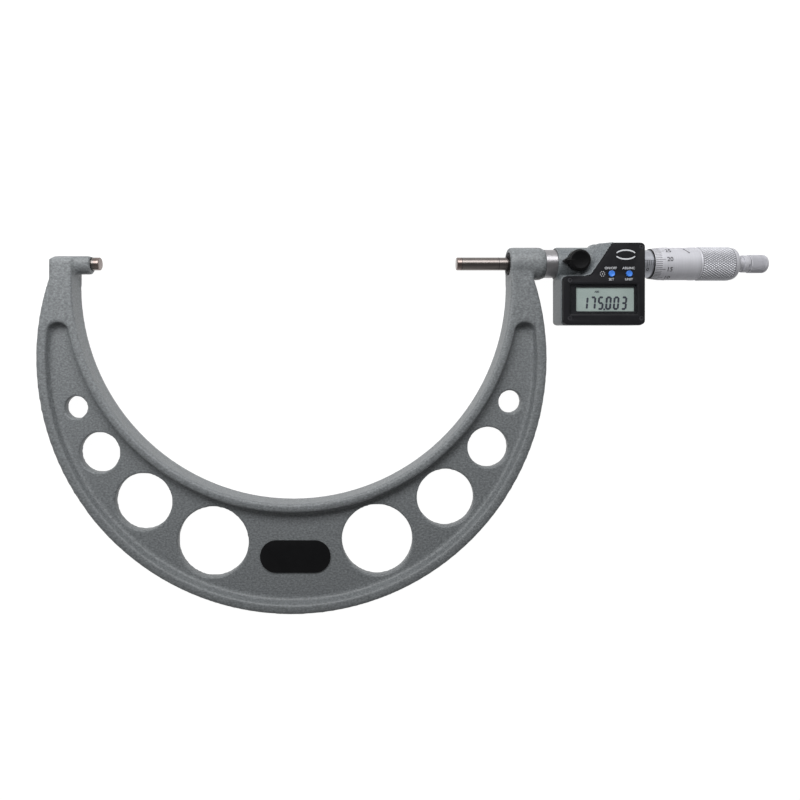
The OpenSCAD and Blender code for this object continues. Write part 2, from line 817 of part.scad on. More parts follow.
module housing_bores() {
    bar(house_x - cut, inner_x, stem_rad);
    bar(inner_x - cut, house_end_x + cut, inner_rad);
    bar(house_end_x - sleeve_seat, house_end_x + cut, sleeve_rad);
    translate([lock_x, lock_y, 0]) cylinder(h = lock_pad + cut, r = lock_shaft_rad + run);
    for (p = cover_screws_at)
        translate([each p, cover_face - cover_head_t - cover_screw_l - 0.5])
            cylinder(h = cover_face, r = cover_shank_d / 2);
    translate([cell_x, cell_y, -block_back - cut]) {
        cylinder(h = cell_z + block_back + cut, r = cap_d / 2 + run);
        cylinder(h = cup_floor_z + block_back + cut, r = cell_bore);
        cylinder(h = cup_top_z + block_back + 2 * cut, r = 0.5);
    }
    translate([cell_x + battery_d / 2, cell_y - 1.6, cell_z]) cube([0.6, 3.2, cup_top_z - cell_z + cut]);
    translate([stem_end_x, -barrel_rad - 2, -0.4]) cube([stator_t, 4, 0.8]);
}

module housing() {
    color([0.52, 0.53, 0.54]) difference() {
        housing_body();
        housing_room();
        housing_bores();
    }
}

module cover_gasket() {
    color([0.08, 0.08, 0.08]) translate([0, 0, rim_z]) linear_extrude(gasket_t) difference() {
        cover_outline(cover_margin);
        offset(-gasket_w) cover_outline(cover_margin);
        for (p = cover_screws_at) translate(p) circle(r = cover_shank_d / 2 + play);
    }
}

// A four-sided hollow whose walls slope out by slope over depth
module sloped_hollow(size, depth, slope) {
    grow = slope * (depth + cut) / depth;
    intersection() {
        rotate([90, 0, 0]) linear_extrude(size[1] * 2, center = true) polygon([
            [-size[0] / 2, 0], [size[0] / 2, 0],
            [size[0] / 2 + grow, depth + cut], [-size[0] / 2 - grow, depth + cut]
        ]);
        rotate([90, 0, 90]) linear_extrude(size[0] * 2, center = true) polygon([
            [-size[1] / 2, 0], [size[1] / 2, 0],
            [size[1] / 2 + grow, depth + cut], [-size[1] / 2 - grow, depth + cut]
        ]);
    }
}

module front_cover() {
    color([0.07, 0.07, 0.08]) difference() {
        translate([0, 0, cover_back]) linear_extrude(cover_t) cover_outline(cover_margin);
        translate([each window_mid, cover_face - window_sunk])
            sloped_hollow([window_l + 2 * play, window_w + 2 * play], window_sunk, window_slope);
        slab_at(window_mid, window_floor, cover_t, [window_l + 2 * play, window_w + 2 * play], 0.8);
        slab_at(view_mid, cover_back - cut, cover_t + cut, [view_l, view_w], 0.5);
        for (x = [power_x, unit_x])
            translate([x, button_y, cover_back - cut])
                cylinder(h = cover_t + 2 * cut, r = button_d / 2 + play);
        for (p = cover_screws_at) translate([each p, cover_back - cut]) {
            cylinder(h = cover_t + 2 * cut, r = cover_shank_d / 2 + play);
            translate([0, 0, cut + cover_t - cover_head_t])
                cylinder(h = cover_t, r = cover_screw_d / 2 + run);
        }
    }
}

module slab_at(place, z, h, size, r) {
    translate([each place, 0]) slab(z, h, size, r);
}

module window() {
    color([0.6, 0.65, 0.65, 0.4]) slab_at(window_mid, window_floor, window_t, [window_l, window_w], 0.7);
}

module lcd_panel() {
    color([0.65, 0.7, 0.65]) slab_at(view_mid, lcd_z, lcd_t, [lcd_l, lcd_w], 0.3);
}

module lcd_holder() {
    outer = [lcd_l + 2 * holder_wall, lcd_w + 2 * holder_wall];
    inner = [lcd_l + play, lcd_w + play];
    color([0.85, 0.85, 0.83]) difference() {
        slab_at(view_mid, board_face, cover_back - board_face, outer, 0.8);
        slab_at(view_mid, board_face - cut, cover_back - board_face + 2 * cut, inner, 0.3);
    }
}

module contact_strips() {
    color([0.9, 0.6, 0.65]) for (s = [-1, 1])
        translate([view_mid[0] - lcd_l / 2 + strip_end, view_mid[1] - strip_w / 2, board_face])
            translate([0, s * (lcd_w - strip_w) / 2 - s * strip_in, 0])
                cube([lcd_l - 2 * strip_end, strip_w, strip_h]);
}

module circuit_board() {
    color([0.1, 0.35, 0.2]) translate([0, 0, board_z]) linear_extrude(board_t) difference() {
        offset(-play) room_outline(wall);
        for (p = cover_screws_at) translate(p) circle(r = post_r + play);
    }
}

module board_chip() {
    color([0.12, 0.12, 0.13]) translate([cell_x + cup_rad - 0.5, cell_y - chip_w / 2, board_z - chip_t])
        cube([chip_w, chip_w, chip_t]);
}

// The mat lies on the board and ends with it at the barrel
module button_mat() {
    mat = [button_pitch + button_d + 2 * mat_end, button_d - 2 * mat_in];
    color([0.3, 0.3, 0.32]) difference() {
        intersection() {
            slab_at([(power_x + unit_x) / 2, button_y], board_face, mat_t, mat, mat_r);
            translate([house_x, -block_bottom, board_z])
                cube([housing_l, block_bottom + board_top_y - play, board_t + mat_t + cut]);
        }
        for (x = [power_x, unit_x])
            translate([x, button_y, board_face + mat_floor])
                cylinder(h = mat_t, r = button_d / 2 - stem_in);
    }
}

module cover_screws() {
    color([0.2, 0.2, 0.21]) for (p = cover_screws_at)
        translate([each p, cover_face - cover_head_t]) difference() {
        union() {
            cylinder(h = cover_head_t - 0.1, r = cover_screw_d / 2);
            translate([0, 0, -cover_screw_l]) cylinder(h = cover_screw_l, r = cover_shank_d / 2);
        }
        translate([0, 0, cover_head_t - 0.6]) cylinder(h = cover_head_t, r = 0.55, $fn = 6);
    }
}

module battery() {
    color([0.8, 0.8, 0.82]) translate([cell_x, cell_y, cell_z]) difference() {
        cylinder(h = battery_h, r = battery_d / 2);
        translate([0, 0, battery_h - 0.3]) difference() {
            cylinder(h = cut, r = battery_d / 2 + cut);
            translate([0, 0, -cut]) cylinder(h = 3 * cut, r = battery_d / 2 - 1.2);
        }
    }
}

module battery_spring() {
    color([0.8, 0.65, 0.35]) translate([cell_x, cell_y, contact_z]) {
        cylinder(h = cup_floor_z - contact_z, r = 2.2);
        cylinder(h = board_z - contact_z, r = 0.5);
    }
}

module battery_side_contact() {
    color([0.8, 0.65, 0.35]) translate([cell_x + battery_d / 2 + 0.2, cell_y - 1.5, cell_z + 0.4])
        cube([0.3, 3, board_z - cell_z - 0.4]);
}

module encoder_stator() {
    color([0.1, 0.35, 0.2]) ring(stem_end_x, stem_end_x + stator_t, guide_rad + 0.6, stem_rad);
}

module encoder_ribbon() {
    color([0.75, 0.5, 0.2]) translate([stem_end_x + 0.1, 0, 0])
        rotate([90, 0, 90]) linear_extrude(stator_t - 0.2)
        polygon([
            [-stem_rad, -0.15], [-barrel_rad - 2, -0.15], [-barrel_rad - 2, board_z],
            [-barrel_rad - 1.7, board_z], [-barrel_rad - 1.7, 0.15], [-stem_rad, 0.15]
        ]);
}

module inner_sleeve() {
    color([0.72, 0.7, 0.66]) turned([
        [screw_rad + 0.6, inner_x], [inner_rad, inner_x],
        [inner_rad, adjuster_x], [adjuster_in_rad, adjuster_x],
        [adjuster_in_rad, inner_end_x], [screw_rad + run, inner_end_x], [screw_rad + run, nut_x],
        [screw_rad + 0.6, nut_x]
    ]);
}

module graduated_sleeve() {
    color([0.8, 0.8, 0.81]) ring(house_end_x - sleeve_seat, sleeve_end_x, inner_rad, sleeve_rad);
}

module adjusting_nut() {
    color([0.6, 0.6, 0.6]) difference() {
        ring(adjuster_x, inner_end_x, adjuster_in_rad, sleeve_rad - 0.2);
        for (a = [0, 90]) rotate([a, 0, 0])
            translate([inner_end_x - slot_w, -slot_w / 2, -sleeve_d])
                cube([slot_w + cut, slot_w, 2 * sleeve_d]);
    }
}

module lock_shoe() {
    color([0.72, 0.55, 0.3]) translate([lock_x, lock_y, shoe_z])
        cylinder(h = shoe_top - shoe_z, r = lock_shaft_rad - play);
}

module encoder_rotor() {
    color([0.1, 0.4, 0.25]) ring(rotor_x, hub_x, guide_rad + 0.6, rotor_d / 2);
}

module rotor_hub() {
    color([0.8, 0.68, 0.35]) difference() {
        turned([
            [guide_rad, rotor_x], [guide_rad + 0.6, rotor_x], [guide_rad + 0.6, hub_x], [hub_d / 2, hub_x],
            [hub_d / 2, washer_x], [guide_rad, washer_x]
        ]);
        translate([hub_x + hub_l / 2, 0, 0]) cylinder(h = hub_d, r = key_w / 2 - run);
    }
}

module rotor_key() {
    color([0.7, 0.7, 0.72]) translate([hub_x + hub_l / 2, 0, spindle_rad - key_depth + play])
        cylinder(h = hub_d / 2 - 0.4 - spindle_rad + key_depth - play, r = key_w / 2 - run);
}

module rotor_washer() {
    color([0.75, 0.75, 0.77]) ring(washer_x, washer_x + washer_t, guide_rad + 0.4, hub_d / 2 - 0.4);
}

module spindle() {
    color([0.75, 0.74, 0.72]) difference() {
        turned([
            [0, face_gap + tip_t], [spindle_rad, face_gap + tip_t], [spindle_rad, screw_x],
            [screw_rad, screw_x + 0.4], [screw_rad, seat_x], [seat_rad, seat_end_x], [0, seat_end_x]
        ]);
        translate([hub_x - travel - 2, -key_w / 2, spindle_rad - key_depth])
            cube([hub_l + travel + 4, key_w, key_depth + cut]);
        bar(seat_x, seat_end_x + cut, ratchet_hole);
    }
}

module spindle_tip() {
    color([0.6, 0.6, 0.62]) turned([
        [0, face_gap], [spindle_rad - 0.3, face_gap], [spindle_rad, face_gap + 0.3],
        [spindle_rad, face_gap + tip_t], [0, face_gap + tip_t]
    ]);
}

module thimble() {
    color([0.78, 0.78, 0.79]) difference() {
        turned([
            [thimble_bore, thimble_x], [thimble_edge_d / 2, thimble_x],
            [thimble_d / 2, thimble_x + bevel_l],
            [thimble_d / 2, knurl_x - 3.6], [thimble_d / 2 + 0.15, knurl_x - 3.3],
            [thimble_d / 2 + 0.15, knurl_x - 0.5],
            [thimble_d / 2 - 0.1, knurl_x - 0.25], [knurl_d / 2, knurl_x], [knurl_d / 2, thimble_end_x],
            [ratchet_neck_d / 2, thimble_end_x], [ratchet_neck_d / 2, seat_end_x], [seat_rad, seat_end_x],
            [screw_rad, seat_x], [thimble_bore, seat_x]
        ]);
        edge_cutter(thimble_end_x, knurl_d / 2, thimble_end_r, 1);
    }
}

// Neck and flange of the ratchet stop, with a hole for the key that tightens it
module ratchet_body() {
    color([0.75, 0.75, 0.76]) difference() {
        turned([
            [ratchet_hole, seat_end_x], [ratchet_neck_d / 2, seat_end_x], [ratchet_neck_d / 2, flange_x],
            [ratchet_flange_d / 2 - flange_edge, flange_x], [ratchet_flange_d / 2, flange_x + flange_edge],
            [ratchet_flange_d / 2, flange_end_x], [ratchet_hole, flange_end_x]
        ]);
        rotate([-key_hole_turn, 0, 0])
            translate([thimble_end_x + ratchet_neck_l / 2, 0, ratchet_hole + key_hole_floor])
                cylinder(h = ratchet_neck_d, d = key_hole_d);
        rotate([flange_slot_turn, 0, 0])
            translate([
                flange_end_x - flange_slot_in, -flange_slot_l / 2, ratchet_flange_d / 2 - flange_slot_t
            ])
                cube([flange_slot_w, flange_slot_l, 2 * flange_slot_t]);
    }
}

module ratchet_screw() {
    color([0.6, 0.6, 0.62]) difference() {
        turned([
            [0, seat_x + seat_gap], [ratchet_hole, seat_x + seat_gap], [ratchet_hole, stop_head_x],
            [stop_head_rad, stop_head_x], [stop_head_rad, stop_head_end_x], [0, stop_head_end_x]
        ]);
        translate([stop_head_end_x - head_slot_depth, -head_slot_w / 2, -knob_d / 2])
            cube([head_slot_depth + cut, head_slot_w, knob_d]);
    }
}

module ratchet_spring() {
    color([0.7, 0.7, 0.72]) ring(flange_end_x, stop_head_x, ratchet_hole, ratchet_hole + spring_wire);
}

module ratchet_knob() {
    color([0.72, 0.72, 0.73]) difference() {
        bar(knob_x, knob_end_x, knob_d / 2);
        edge_cutter(knob_end_x, knob_d / 2, knob_r, 1);
        bar(knob_x - cut, stop_head_end_x + head_clear, stop_head_rad + turn_gap);
    }
}

module lock_lever() {
    color([0.06, 0.06, 0.07]) translate([lock_x, lock_y, lever_z]) difference() {
        union() {
            rotate_extrude() difference() {
                square([lever_d / 2, lever_h]);
                translate([lever_d / 2 - lever_edge_r, lever_h - lever_edge_r]) difference() {
                    square(2 * lever_edge_r);
                    circle(r = lever_edge_r);
                }
            }
            linear_extrude(lever_h - beak_drop) hull() {
                translate([beak_r - beak_reach, -beak_low]) circle(r = beak_r);
                translate([beak_root_r - lever_d / 2, 0]) circle(r = beak_root_r);
                circle(r = beak_r);
            }
        }
        translate([0, 0, -cut]) cylinder(h = lever_h - 1 + cut, r = lock_shaft_rad);
    }
}

module lock_shaft() {
    color([0.65, 0.65, 0.67]) translate([lock_x, lock_y, shoe_top + play])
        cylinder(h = lever_z + lever_h - 1 - shoe_top - play, r = lock_shaft_rad);
}

// A push button with a dished top, standing on the rubber mat
module push_button(x) {
    step = button_travel + play;
    foot = board_face + mat_floor + step;
    translate([x, button_y, foot])
        cylinder(h = cover_back + step + cut / 2 - foot, r = button_d / 2 - stem_in - play);
    translate([x, button_y, cover_back + step]) difference() {
        cylinder(h = cover_t - step + button_out, r = button_d / 2);
        translate([0, 0, cover_t - step + button_out + dish_r - dish]) sphere(r = dish_r);
    }
}

module power_button() {
    color([0.25, 0.5, 0.9]) push_button(power_x);
}

module unit_button() {
    color([0.25, 0.5, 0.9]) push_button(unit_x);
}

module battery_cap() {
    color([0.6, 0.6, 0.61]) translate([cell_x, cell_y, cap_z]) difference() {
        cylinder(h = cap_t, r = cap_d / 2);
        translate([-cap_d / 2 + 1.5, -coin_slot_w / 2, -cut]) cube([cap_d - 3, coin_slot_w, cut + 0.7]);
        translate([0, 0, cap_t - 0.6]) difference() {
            cylinder(h = cut, r = cap_d / 2 + cut);
            translate([0, 0, -cut]) cylinder(h = 3 * cut, r = cap_d / 2 - 0.8);
        }
    }
}

module battery_cap_seal() {
    color([0.08, 0.08, 0.08]) translate([cell_x, cell_y, cap_z + cap_t - 0.6]) difference() {
        cylinder(h = 0.55, r = cap_d / 2 - 0.02);
        translate([0, 0, -cut]) cylinder(h = 3 * cut, r = cap_d / 2 - 0.8);
    }
}

frame_casting();
name_plate();
anvil();
anvil_tip();
wiper_seal();
stem_tube();
housing();
cover_gasket();
front_cover();
window();
lcd_panel();
lcd_holder();
contact_strips();
circuit_board();
board_chip();
button_mat();
cover_screws();
battery();
battery_spring();
battery_side_contact();
encoder_stator();
encoder_ribbon();
inner_sleeve();
graduated_sleeve();
adjusting_nut();
lock_shoe();
encoder_rotor();
rotor_hub();
rotor_key();
rotor_washer();
spindle();
spindle_tip();
thimble();
ratchet_body();
ratchet_screw();
ratchet_spring();
ratchet_knob();
lock_lever();
lock_shaft();
power_button();
unit_button();
battery_cap();
battery_cap_seal();
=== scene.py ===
import bpy
import json
import math
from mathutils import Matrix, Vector


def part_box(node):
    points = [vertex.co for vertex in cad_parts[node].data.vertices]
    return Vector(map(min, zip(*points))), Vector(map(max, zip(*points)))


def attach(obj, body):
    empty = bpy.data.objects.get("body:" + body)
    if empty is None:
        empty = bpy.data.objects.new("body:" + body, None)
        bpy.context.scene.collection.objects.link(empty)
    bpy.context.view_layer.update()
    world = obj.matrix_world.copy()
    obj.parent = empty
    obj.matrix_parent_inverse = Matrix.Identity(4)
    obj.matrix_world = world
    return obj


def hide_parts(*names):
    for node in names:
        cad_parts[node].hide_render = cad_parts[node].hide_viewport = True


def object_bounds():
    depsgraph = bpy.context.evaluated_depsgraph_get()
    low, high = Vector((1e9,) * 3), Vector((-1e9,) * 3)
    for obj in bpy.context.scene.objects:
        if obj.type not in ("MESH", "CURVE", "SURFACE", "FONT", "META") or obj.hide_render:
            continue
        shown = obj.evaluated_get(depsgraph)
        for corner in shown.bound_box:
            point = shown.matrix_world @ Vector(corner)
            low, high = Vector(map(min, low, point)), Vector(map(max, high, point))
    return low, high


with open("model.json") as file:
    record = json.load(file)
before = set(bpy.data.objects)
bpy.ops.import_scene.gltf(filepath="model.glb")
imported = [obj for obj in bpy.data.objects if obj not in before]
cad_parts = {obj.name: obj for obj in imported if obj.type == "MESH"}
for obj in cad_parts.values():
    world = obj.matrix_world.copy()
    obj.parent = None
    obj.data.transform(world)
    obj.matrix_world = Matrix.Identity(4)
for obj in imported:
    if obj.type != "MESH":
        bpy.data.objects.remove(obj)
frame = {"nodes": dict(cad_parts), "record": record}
cad_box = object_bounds()

MM = 0.001
TURN = 2 * math.pi

# Radii of the knurl's valleys and peaks
VALLEY_R, PEAK_R = 7.94, 8.3

tool = bpy.context.scene.tool_settings


# Modelling helpers

def rad(degrees):
    return math.radians(degrees)


def mm(*values):
    return tuple(v * MM for v in values)


def only(piece):
    """Makes one piece the selected and active object."""
    bpy.ops.object.select_all(action="DESELECT")
    piece.select_set(True)
    bpy.context.view_layer.objects.active = piece
    return piece


def named(name):
    """Names the new active object and puts its place into its mesh."""
    piece = only(bpy.context.object)
    bpy.ops.object.transform_apply(location=True, rotation=True, scale=True)
    piece.name = name
    piece.data.name = name
    return piece


def placed(piece, place=(0, 0, 0), about_x=0, about_y=0, about_z=0):
    """Turns a piece about the origin, moves it and puts both into its mesh."""
    only(piece)
    piece.rotation_euler = (rad(about_x), rad(about_y), rad(about_z))
    piece.location = mm(*place)
    bpy.ops.object.transform_apply(location=True, rotation=True, scale=True)
    return piece


def pick(piece, kind, test):
    """Selects the vertices or faces of a piece that pass the test."""
    tool.mesh_select_mode = (kind == "vertices", False, kind == "polygons")
    data = piece.data
    for group in (data.polygons, data.edges, data.vertices):
        group.foreach_set("select", [False] * len(group))
    chosen = getattr(data, kind)
    chosen.foreach_set("select", [bool(test(item)) for item in chosen])


def edit(piece, kind=None, test=None):
    """Enters edit mode with everything selected, or only what passes the test."""
    only(piece)
    if test:
        pick(piece, kind, test)
    bpy.ops.object.mode_set(mode="EDIT")
    if not test:
        tool.mesh_select_mode = (True, False, False)
        bpy.ops.mesh.select_all(action="SELECT")


def done():
    bpy.ops.object.mode_set(mode="OBJECT")


def tidy_faces(piece):
    """Merges doubles, then points all faces outwards."""
    edit(piece)
    bpy.ops.mesh.remove_doubles(threshold=0.0005 * MM)
    bpy.ops.mesh.normals_make_consistent(inside=False)
    done()
    return piece


def modifier(piece, kind, **settings):
    """Adds a modifier to a piece and applies it."""
    only(piece)
    added = piece.modifiers.new(kind.title(), kind)
    for key, value in settings.items():
        setattr(added, key, value)
    bpy.ops.object.modifier_apply(modifier=added.name)
    return piece


def rounded(piece, width, segments, angle=35):
    """Rounds the edges that are sharper than the angle."""
    return modifier(piece, "BEVEL", width=width * MM, segments=segments, limit_method="ANGLE",
                    angle_limit=rad(angle), use_clamp_overlap=True)


def smooth(piece, angle):
    only(piece)
    bpy.ops.object.shade_smooth_by_angle(angle=rad(angle))
    return piece


def copy_of(node, name):
    """A merged copy of a CAD node's mesh as a piece of its own."""
    source = frame["nodes"][node]
    piece = bpy.data.objects.new(name, source.data.copy())
    bpy.context.scene.collection.objects.link(piece)
    piece.data.name = name
    piece.data.materials.clear()
    edit(piece)
    bpy.ops.mesh.remove_doubles(threshold=0.002 * MM)
    bpy.ops.mesh.tris_convert_to_quads(face_threshold=rad(1), shape_threshold=rad(180))
    done()
    return piece


def turned(name, profile, sides):
    """A piece turned about the spindle's axis: a ring is extruded and scaled along the profile.

    The profile lists radius and place along the axis, and ends where it starts.
    """
    radius, x = profile[0]
    bpy.ops.object.select_all(action="DESELECT")
    bpy.ops.mesh.primitive_circle_add(vertices=sides, radius=radius * MM, location=mm(x, 0, 0),
                                      rotation=(0, rad(90), 0))
    piece = named(name)
    edit(piece)
    for (radius, x), (next_radius, next_x) in zip(profile, profile[1:]):
        bpy.ops.mesh.extrude_region_move(TRANSFORM_OT_translate={"value": mm(next_x - x, 0, 0)})
        share = next_radius / radius
        bpy.ops.transform.resize(value=(1, share, share), center_override=mm(next_x, 0, 0))
    done()
    return tidy_faces(piece)


def round_corner(radius, x, size, steps):
    """Rounded corner of a turned profile, from its side to its end face."""
    turns = [rad(90 * i / steps) for i in range(steps + 1)]
    return [(radius - size + size * math.cos(turn), x - size + size * math.sin(turn)) for turn in turns]


def bar_box(name, low, high, edge=0.0):
    """A block between two corners, with its edges bevelled where a width is given."""
    bpy.ops.object.select_all(action="DESELECT")
    middle = [(a + b) / 2 for a, b in zip(low, high)]
    bpy.ops.mesh.primitive_cube_add(size=1, location=mm(*middle))
    bpy.context.object.scale = mm(*[b - a for a, b in zip(low, high)])
    piece = named(name)
    if edge:
        rounded(piece, edge, 1)
    return piece


def prism(name, outline, low, high):
    """A block with the given outline, between two heights."""
    bpy.ops.object.select_all(action="DESELECT")
    bpy.ops.mesh.primitive_circle_add(vertices=len(outline), radius=MM, fill_type="NGON")
    piece = named(name)
    for index, corner in enumerate(outline):
        start = piece.data.vertices[index].co.copy()
        edit(piece, "vertices", lambda vertex: vertex.index == index)
        bpy.ops.transform.translate(value=Vector(mm(*corner, low)) - start)
        done()
    edit(piece)
    bpy.ops.mesh.extrude_region_move(TRANSFORM_OT_translate={"value": mm(0, 0, high - low)})
    done()
    return tidy_faces(piece)


def repeated(piece, angles):
    """Copies of a piece about the spindle's axis, each with its own mesh."""
    copies = []
    for angle in angles:
        twin = piece.copy()
        twin.data = piece.data.copy()
        bpy.context.scene.collection.objects.link(twin)
        twin.rotation_euler = (-rad(angle), 0, 0)
        copies.append(twin)
    bpy.data.objects.remove(piece)
    return copies


def joined(name, pieces):
    """Makes several pieces one, with a name of its own."""
    bpy.ops.object.select_all(action="DESELECT")
    for piece in pieces:
        piece.select_set(True)
    bpy.context.view_layer.objects.active = pieces[0]
    bpy.ops.object.join()
    return named(name)


def lettering(words, size, place, angle, thick, weight):
    """Raised words or figures that face up, then turned about the spindle's axis by the angle."""
    bpy.ops.object.select_all(action="DESELECT")
    bpy.ops.object.text_add(location=(0, 0, 0))
    text = bpy.context.object
    text.data.body = words
    text.data.size = size * MM
    text.data.align_x = "CENTER"
    text.data.align_y = "CENTER"
    text.data.resolution_u = 4
    text.data.offset = weight * MM
    text.data.extrude = thick / 2 * MM
    bpy.ops.object.convert(target="MESH")
    piece = placed(bpy.context.object, place)
    return placed(piece, about_x=-angle)


def stands_for(piece, body, slot, *nodes):
    """Puts a piece on its body, in place of the CAD nodes it draws again; the slot is not used."""
    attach(piece, body)
    if nodes:
        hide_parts(*nodes)
    return piece


# Material helpers

def linear(*levels):
    """Colour from 0 to 255 as written in a picture, as a shader wants it."""
    shares = [level / 255 for level in levels]
    return tuple(s / 12.92 if s <= 0.04045 else ((s + 0.055) / 1.055) ** 2.4 for s in shares) + (1.0,)


class Value:
    """A number or colour from a node's socket, to be used in an expression."""

    def __init__(self, net, socket):
        self.net, self.socket = net, socket

    def maths(self, operation, *values):
        return self.net.node("ShaderNodeMath", {"operation": operation}, *values)

    def __add__(self, other):
        return self.maths("ADD", self, other)

    def __rsub__(self, other):
        return self.maths("SUBTRACT", other, self)

    def __mul__(self, other):
        return self.maths("MULTIPLY", self, other)

    __radd__ = __add__
    __rmul__ = __mul__

    def to(self, low, high):
        """Stretches low to high over 0 to 1, and clips."""
        return self.net.node("ShaderNodeMapRange", {"clamp": True}, self, low, high, 0.0, 1.0)


class Net:
    """The nodes of a material or of the world."""

    def __init__(self, tree):
        self.tree = tree
        tree.nodes.clear()

    def join(self, value, socket):
        if isinstance(value, Value):
            self.tree.links.new(value.socket, socket)
        else:
            socket.default_value = value

    def node(self, kind, settings, *values, output=0, **sockets):
        """Adds a node: its settings first, then the values or links of its sockets."""
        added = self.tree.nodes.new(kind)
        for key, value in settings.items():
            setattr(added, key, value)
        usable = [s for s in added.inputs if s.enabled]
        for value, socket in zip(values, usable):
            self.join(value, socket)
        for socket, value in sockets.items():
            self.join(value, added.inputs[socket.replace("_", " ")])
        return Value(self, added.outputs[output]) if added.outputs else None

    def ray(self):
        """One for what the camera sees, by itself, in metal or through glass."""
        kinds = [self.node("ShaderNodeLightPath", {}, output=f"Is {kind} Ray")
                 for kind in ("Camera", "Glossy", "Transmission")]
        return (kinds[0] + kinds[1] + kinds[2]).to(0.0, 1.0)


class Finish(Net):
    """One procedural material."""

    def __init__(self, name, **settings):
        self.material = bpy.data.materials.new(name)
        self.material.use_nodes = True
        super().__init__(self.material.node_tree)
        self.shader = self.tree.nodes.new("ShaderNodeBsdfPrincipled")
        self.out = self.tree.nodes.new("ShaderNodeOutputMaterial")
        self.tree.links.new(self.shader.outputs[0], self.out.inputs[0])
        self.coat(*settings.items())
        self.place = self.node("ShaderNodeTexCoord", {}, output="Object")

    def coat(self, *sockets):
        """Gives the shader's sockets their values or links."""
        for socket, value in sockets:
            self.join(value, self.shader.inputs[socket.replace("_", " ")])

    def noise(self, scale, detail=3.0, roughness=0.55, place=None):
        return self.node("ShaderNodeTexNoise", {}, Vector=place or self.place, Scale=scale,
                         Detail=detail, Roughness=roughness, output="Fac")

    def cells(self, scale, smoothness):
        """Soft dimples."""
        return self.node("ShaderNodeTexVoronoi", {"feature": "SMOOTH_F1"}, Vector=self.place, Scale=scale,
                         Smoothness=smoothness, output="Distance")

    def stretched(self, x, y, z):
        """Places for a pattern with so many spots per metre along each axis."""
        return self.node("ShaderNodeMapping", {}, Vector=self.place, Scale=(x, y, z))

    def blend(self, share, first, second):
        """Goes from the first colour to the second as the share rises."""
        added = self.tree.nodes.new("ShaderNodeMix")
        added.data_type = "RGBA"
        for value, index in ((share, 0), (first, 6), (second, 7)):
            self.join(value, added.inputs[index])
        return Value(self, added.outputs[2])

    def bump(self, height, distance, strength, under=None):
        """Relief of a depth in millimetres, on top of another relief where one is given."""
        more = {"Normal": under} if under else {}
        return self.node("ShaderNodeBump", {}, Strength=strength, Distance=distance * MM,
                         Height=height, **more)


# Finishes

def frame_paint():
    """Hammered grey paint: fine dimples, slightly drawn out along the frame's width."""
    f = Finish("frame_paint", Specular_IOR_Level=0.4)
    ripple = f.noise(1.0, 2.5, 0.6, f.stretched(900, 1300, 1200))
    dimples = f.cells(1300, 0.7)
    broad = f.noise(24, 3.0)
    grey = f.blend(ripple.to(0.32, 0.68), linear(97, 100, 102), linear(132, 136, 138))
    grey = f.blend(dimples.to(0.35, 0.75) * 0.35, grey, linear(88, 91, 94))
    grey = f.blend(broad.to(0.4, 0.7) * 0.12, grey, linear(102, 105, 108))
    f.coat(("Base Color", grey), ("Roughness", 0.36 + ripple * 0.2),
           ("Normal", f.bump(ripple + dimples * 0.5, 0.12, 0.8, f.bump(broad, 0.4, 0.12))))
    return f.material


def housing_paint():
    """Finer and smoother grey paint on the measuring head."""
    f = Finish("housing_paint", Specular_IOR_Level=0.4)
    fine = f.noise(1700, 3.0)
    soft = f.cells(1000, 0.8)
    broad = f.noise(60, 3.0)
    grey = f.blend(fine.to(0.3, 0.7), linear(72, 77, 80), linear(122, 127, 130))
    grey = f.blend(broad.to(0.45, 0.75) * 0.3, grey, linear(76, 81, 84))
    f.coat(("Base Color", grey), ("Roughness", 0.32 + fine * 0.16),
           ("Normal", f.bump(soft + fine * 0.4, 0.05, 0.6)))
    return f.material


def ground_steel():
    """Ground bar: fine rings across its length, with a warm brown tint."""
    f = Finish("ground_steel", Metallic=1.0)
    rings = f.noise(1.0, 4.0, 0.7, f.stretched(9000, 60, 60))
    cloud = f.noise(90, 3.0)
    tone = f.blend(rings.to(0.3, 0.7), linear(100, 95, 93), linear(120, 114, 111))
    tone = f.blend(cloud.to(0.5, 0.8) * 0.3, tone, linear(104, 92, 88))
    f.coat(("Base Color", tone), ("Roughness", 0.24 + rings * 0.05 + cloud * 0.05),
           ("Normal", f.bump(rings, 0.0008, 0.08)))
    return f.material


def hard_metal():
    """Darker, finely lapped metal of the two measuring faces."""
    f = Finish("hard_metal", Metallic=1.0)
    grain = f.noise(2600, 2.0)
    stain = f.noise(160, 3.0)
    tone = f.blend(stain.to(0.4, 0.7), linear(116, 104, 100), linear(140, 130, 126))
    f.coat(("Base Color", tone), ("Roughness", 0.2 + grain * 0.14), ("Normal", f.bump(grain, 0.004, 0.3)))
    return f.material


def satin(name, dark, light, rough, metallic):
    """Chrome plate on a turned part, with faint turning lines; the matt kind scatters more light."""
    f = Finish(name, Metallic=metallic)
    lines = f.noise(1.0, 3.0, 0.6, f.stretched(4200, 26, 26))
    grain = f.noise(5200, 2.0)
    cloud = f.noise(130, 3.0)
    tone = f.blend(lines.to(0.3, 0.7), dark, light)
    tone = f.blend(cloud.to(0.5, 0.8) * 0.18, tone, dark)
    f.coat(("Base Color", tone), ("Roughness", rough + grain * 0.12 + cloud * 0.06),
           ("Normal", f.bump(grain + lines * 0.6, 0.008, 0.35)))
    return f.material


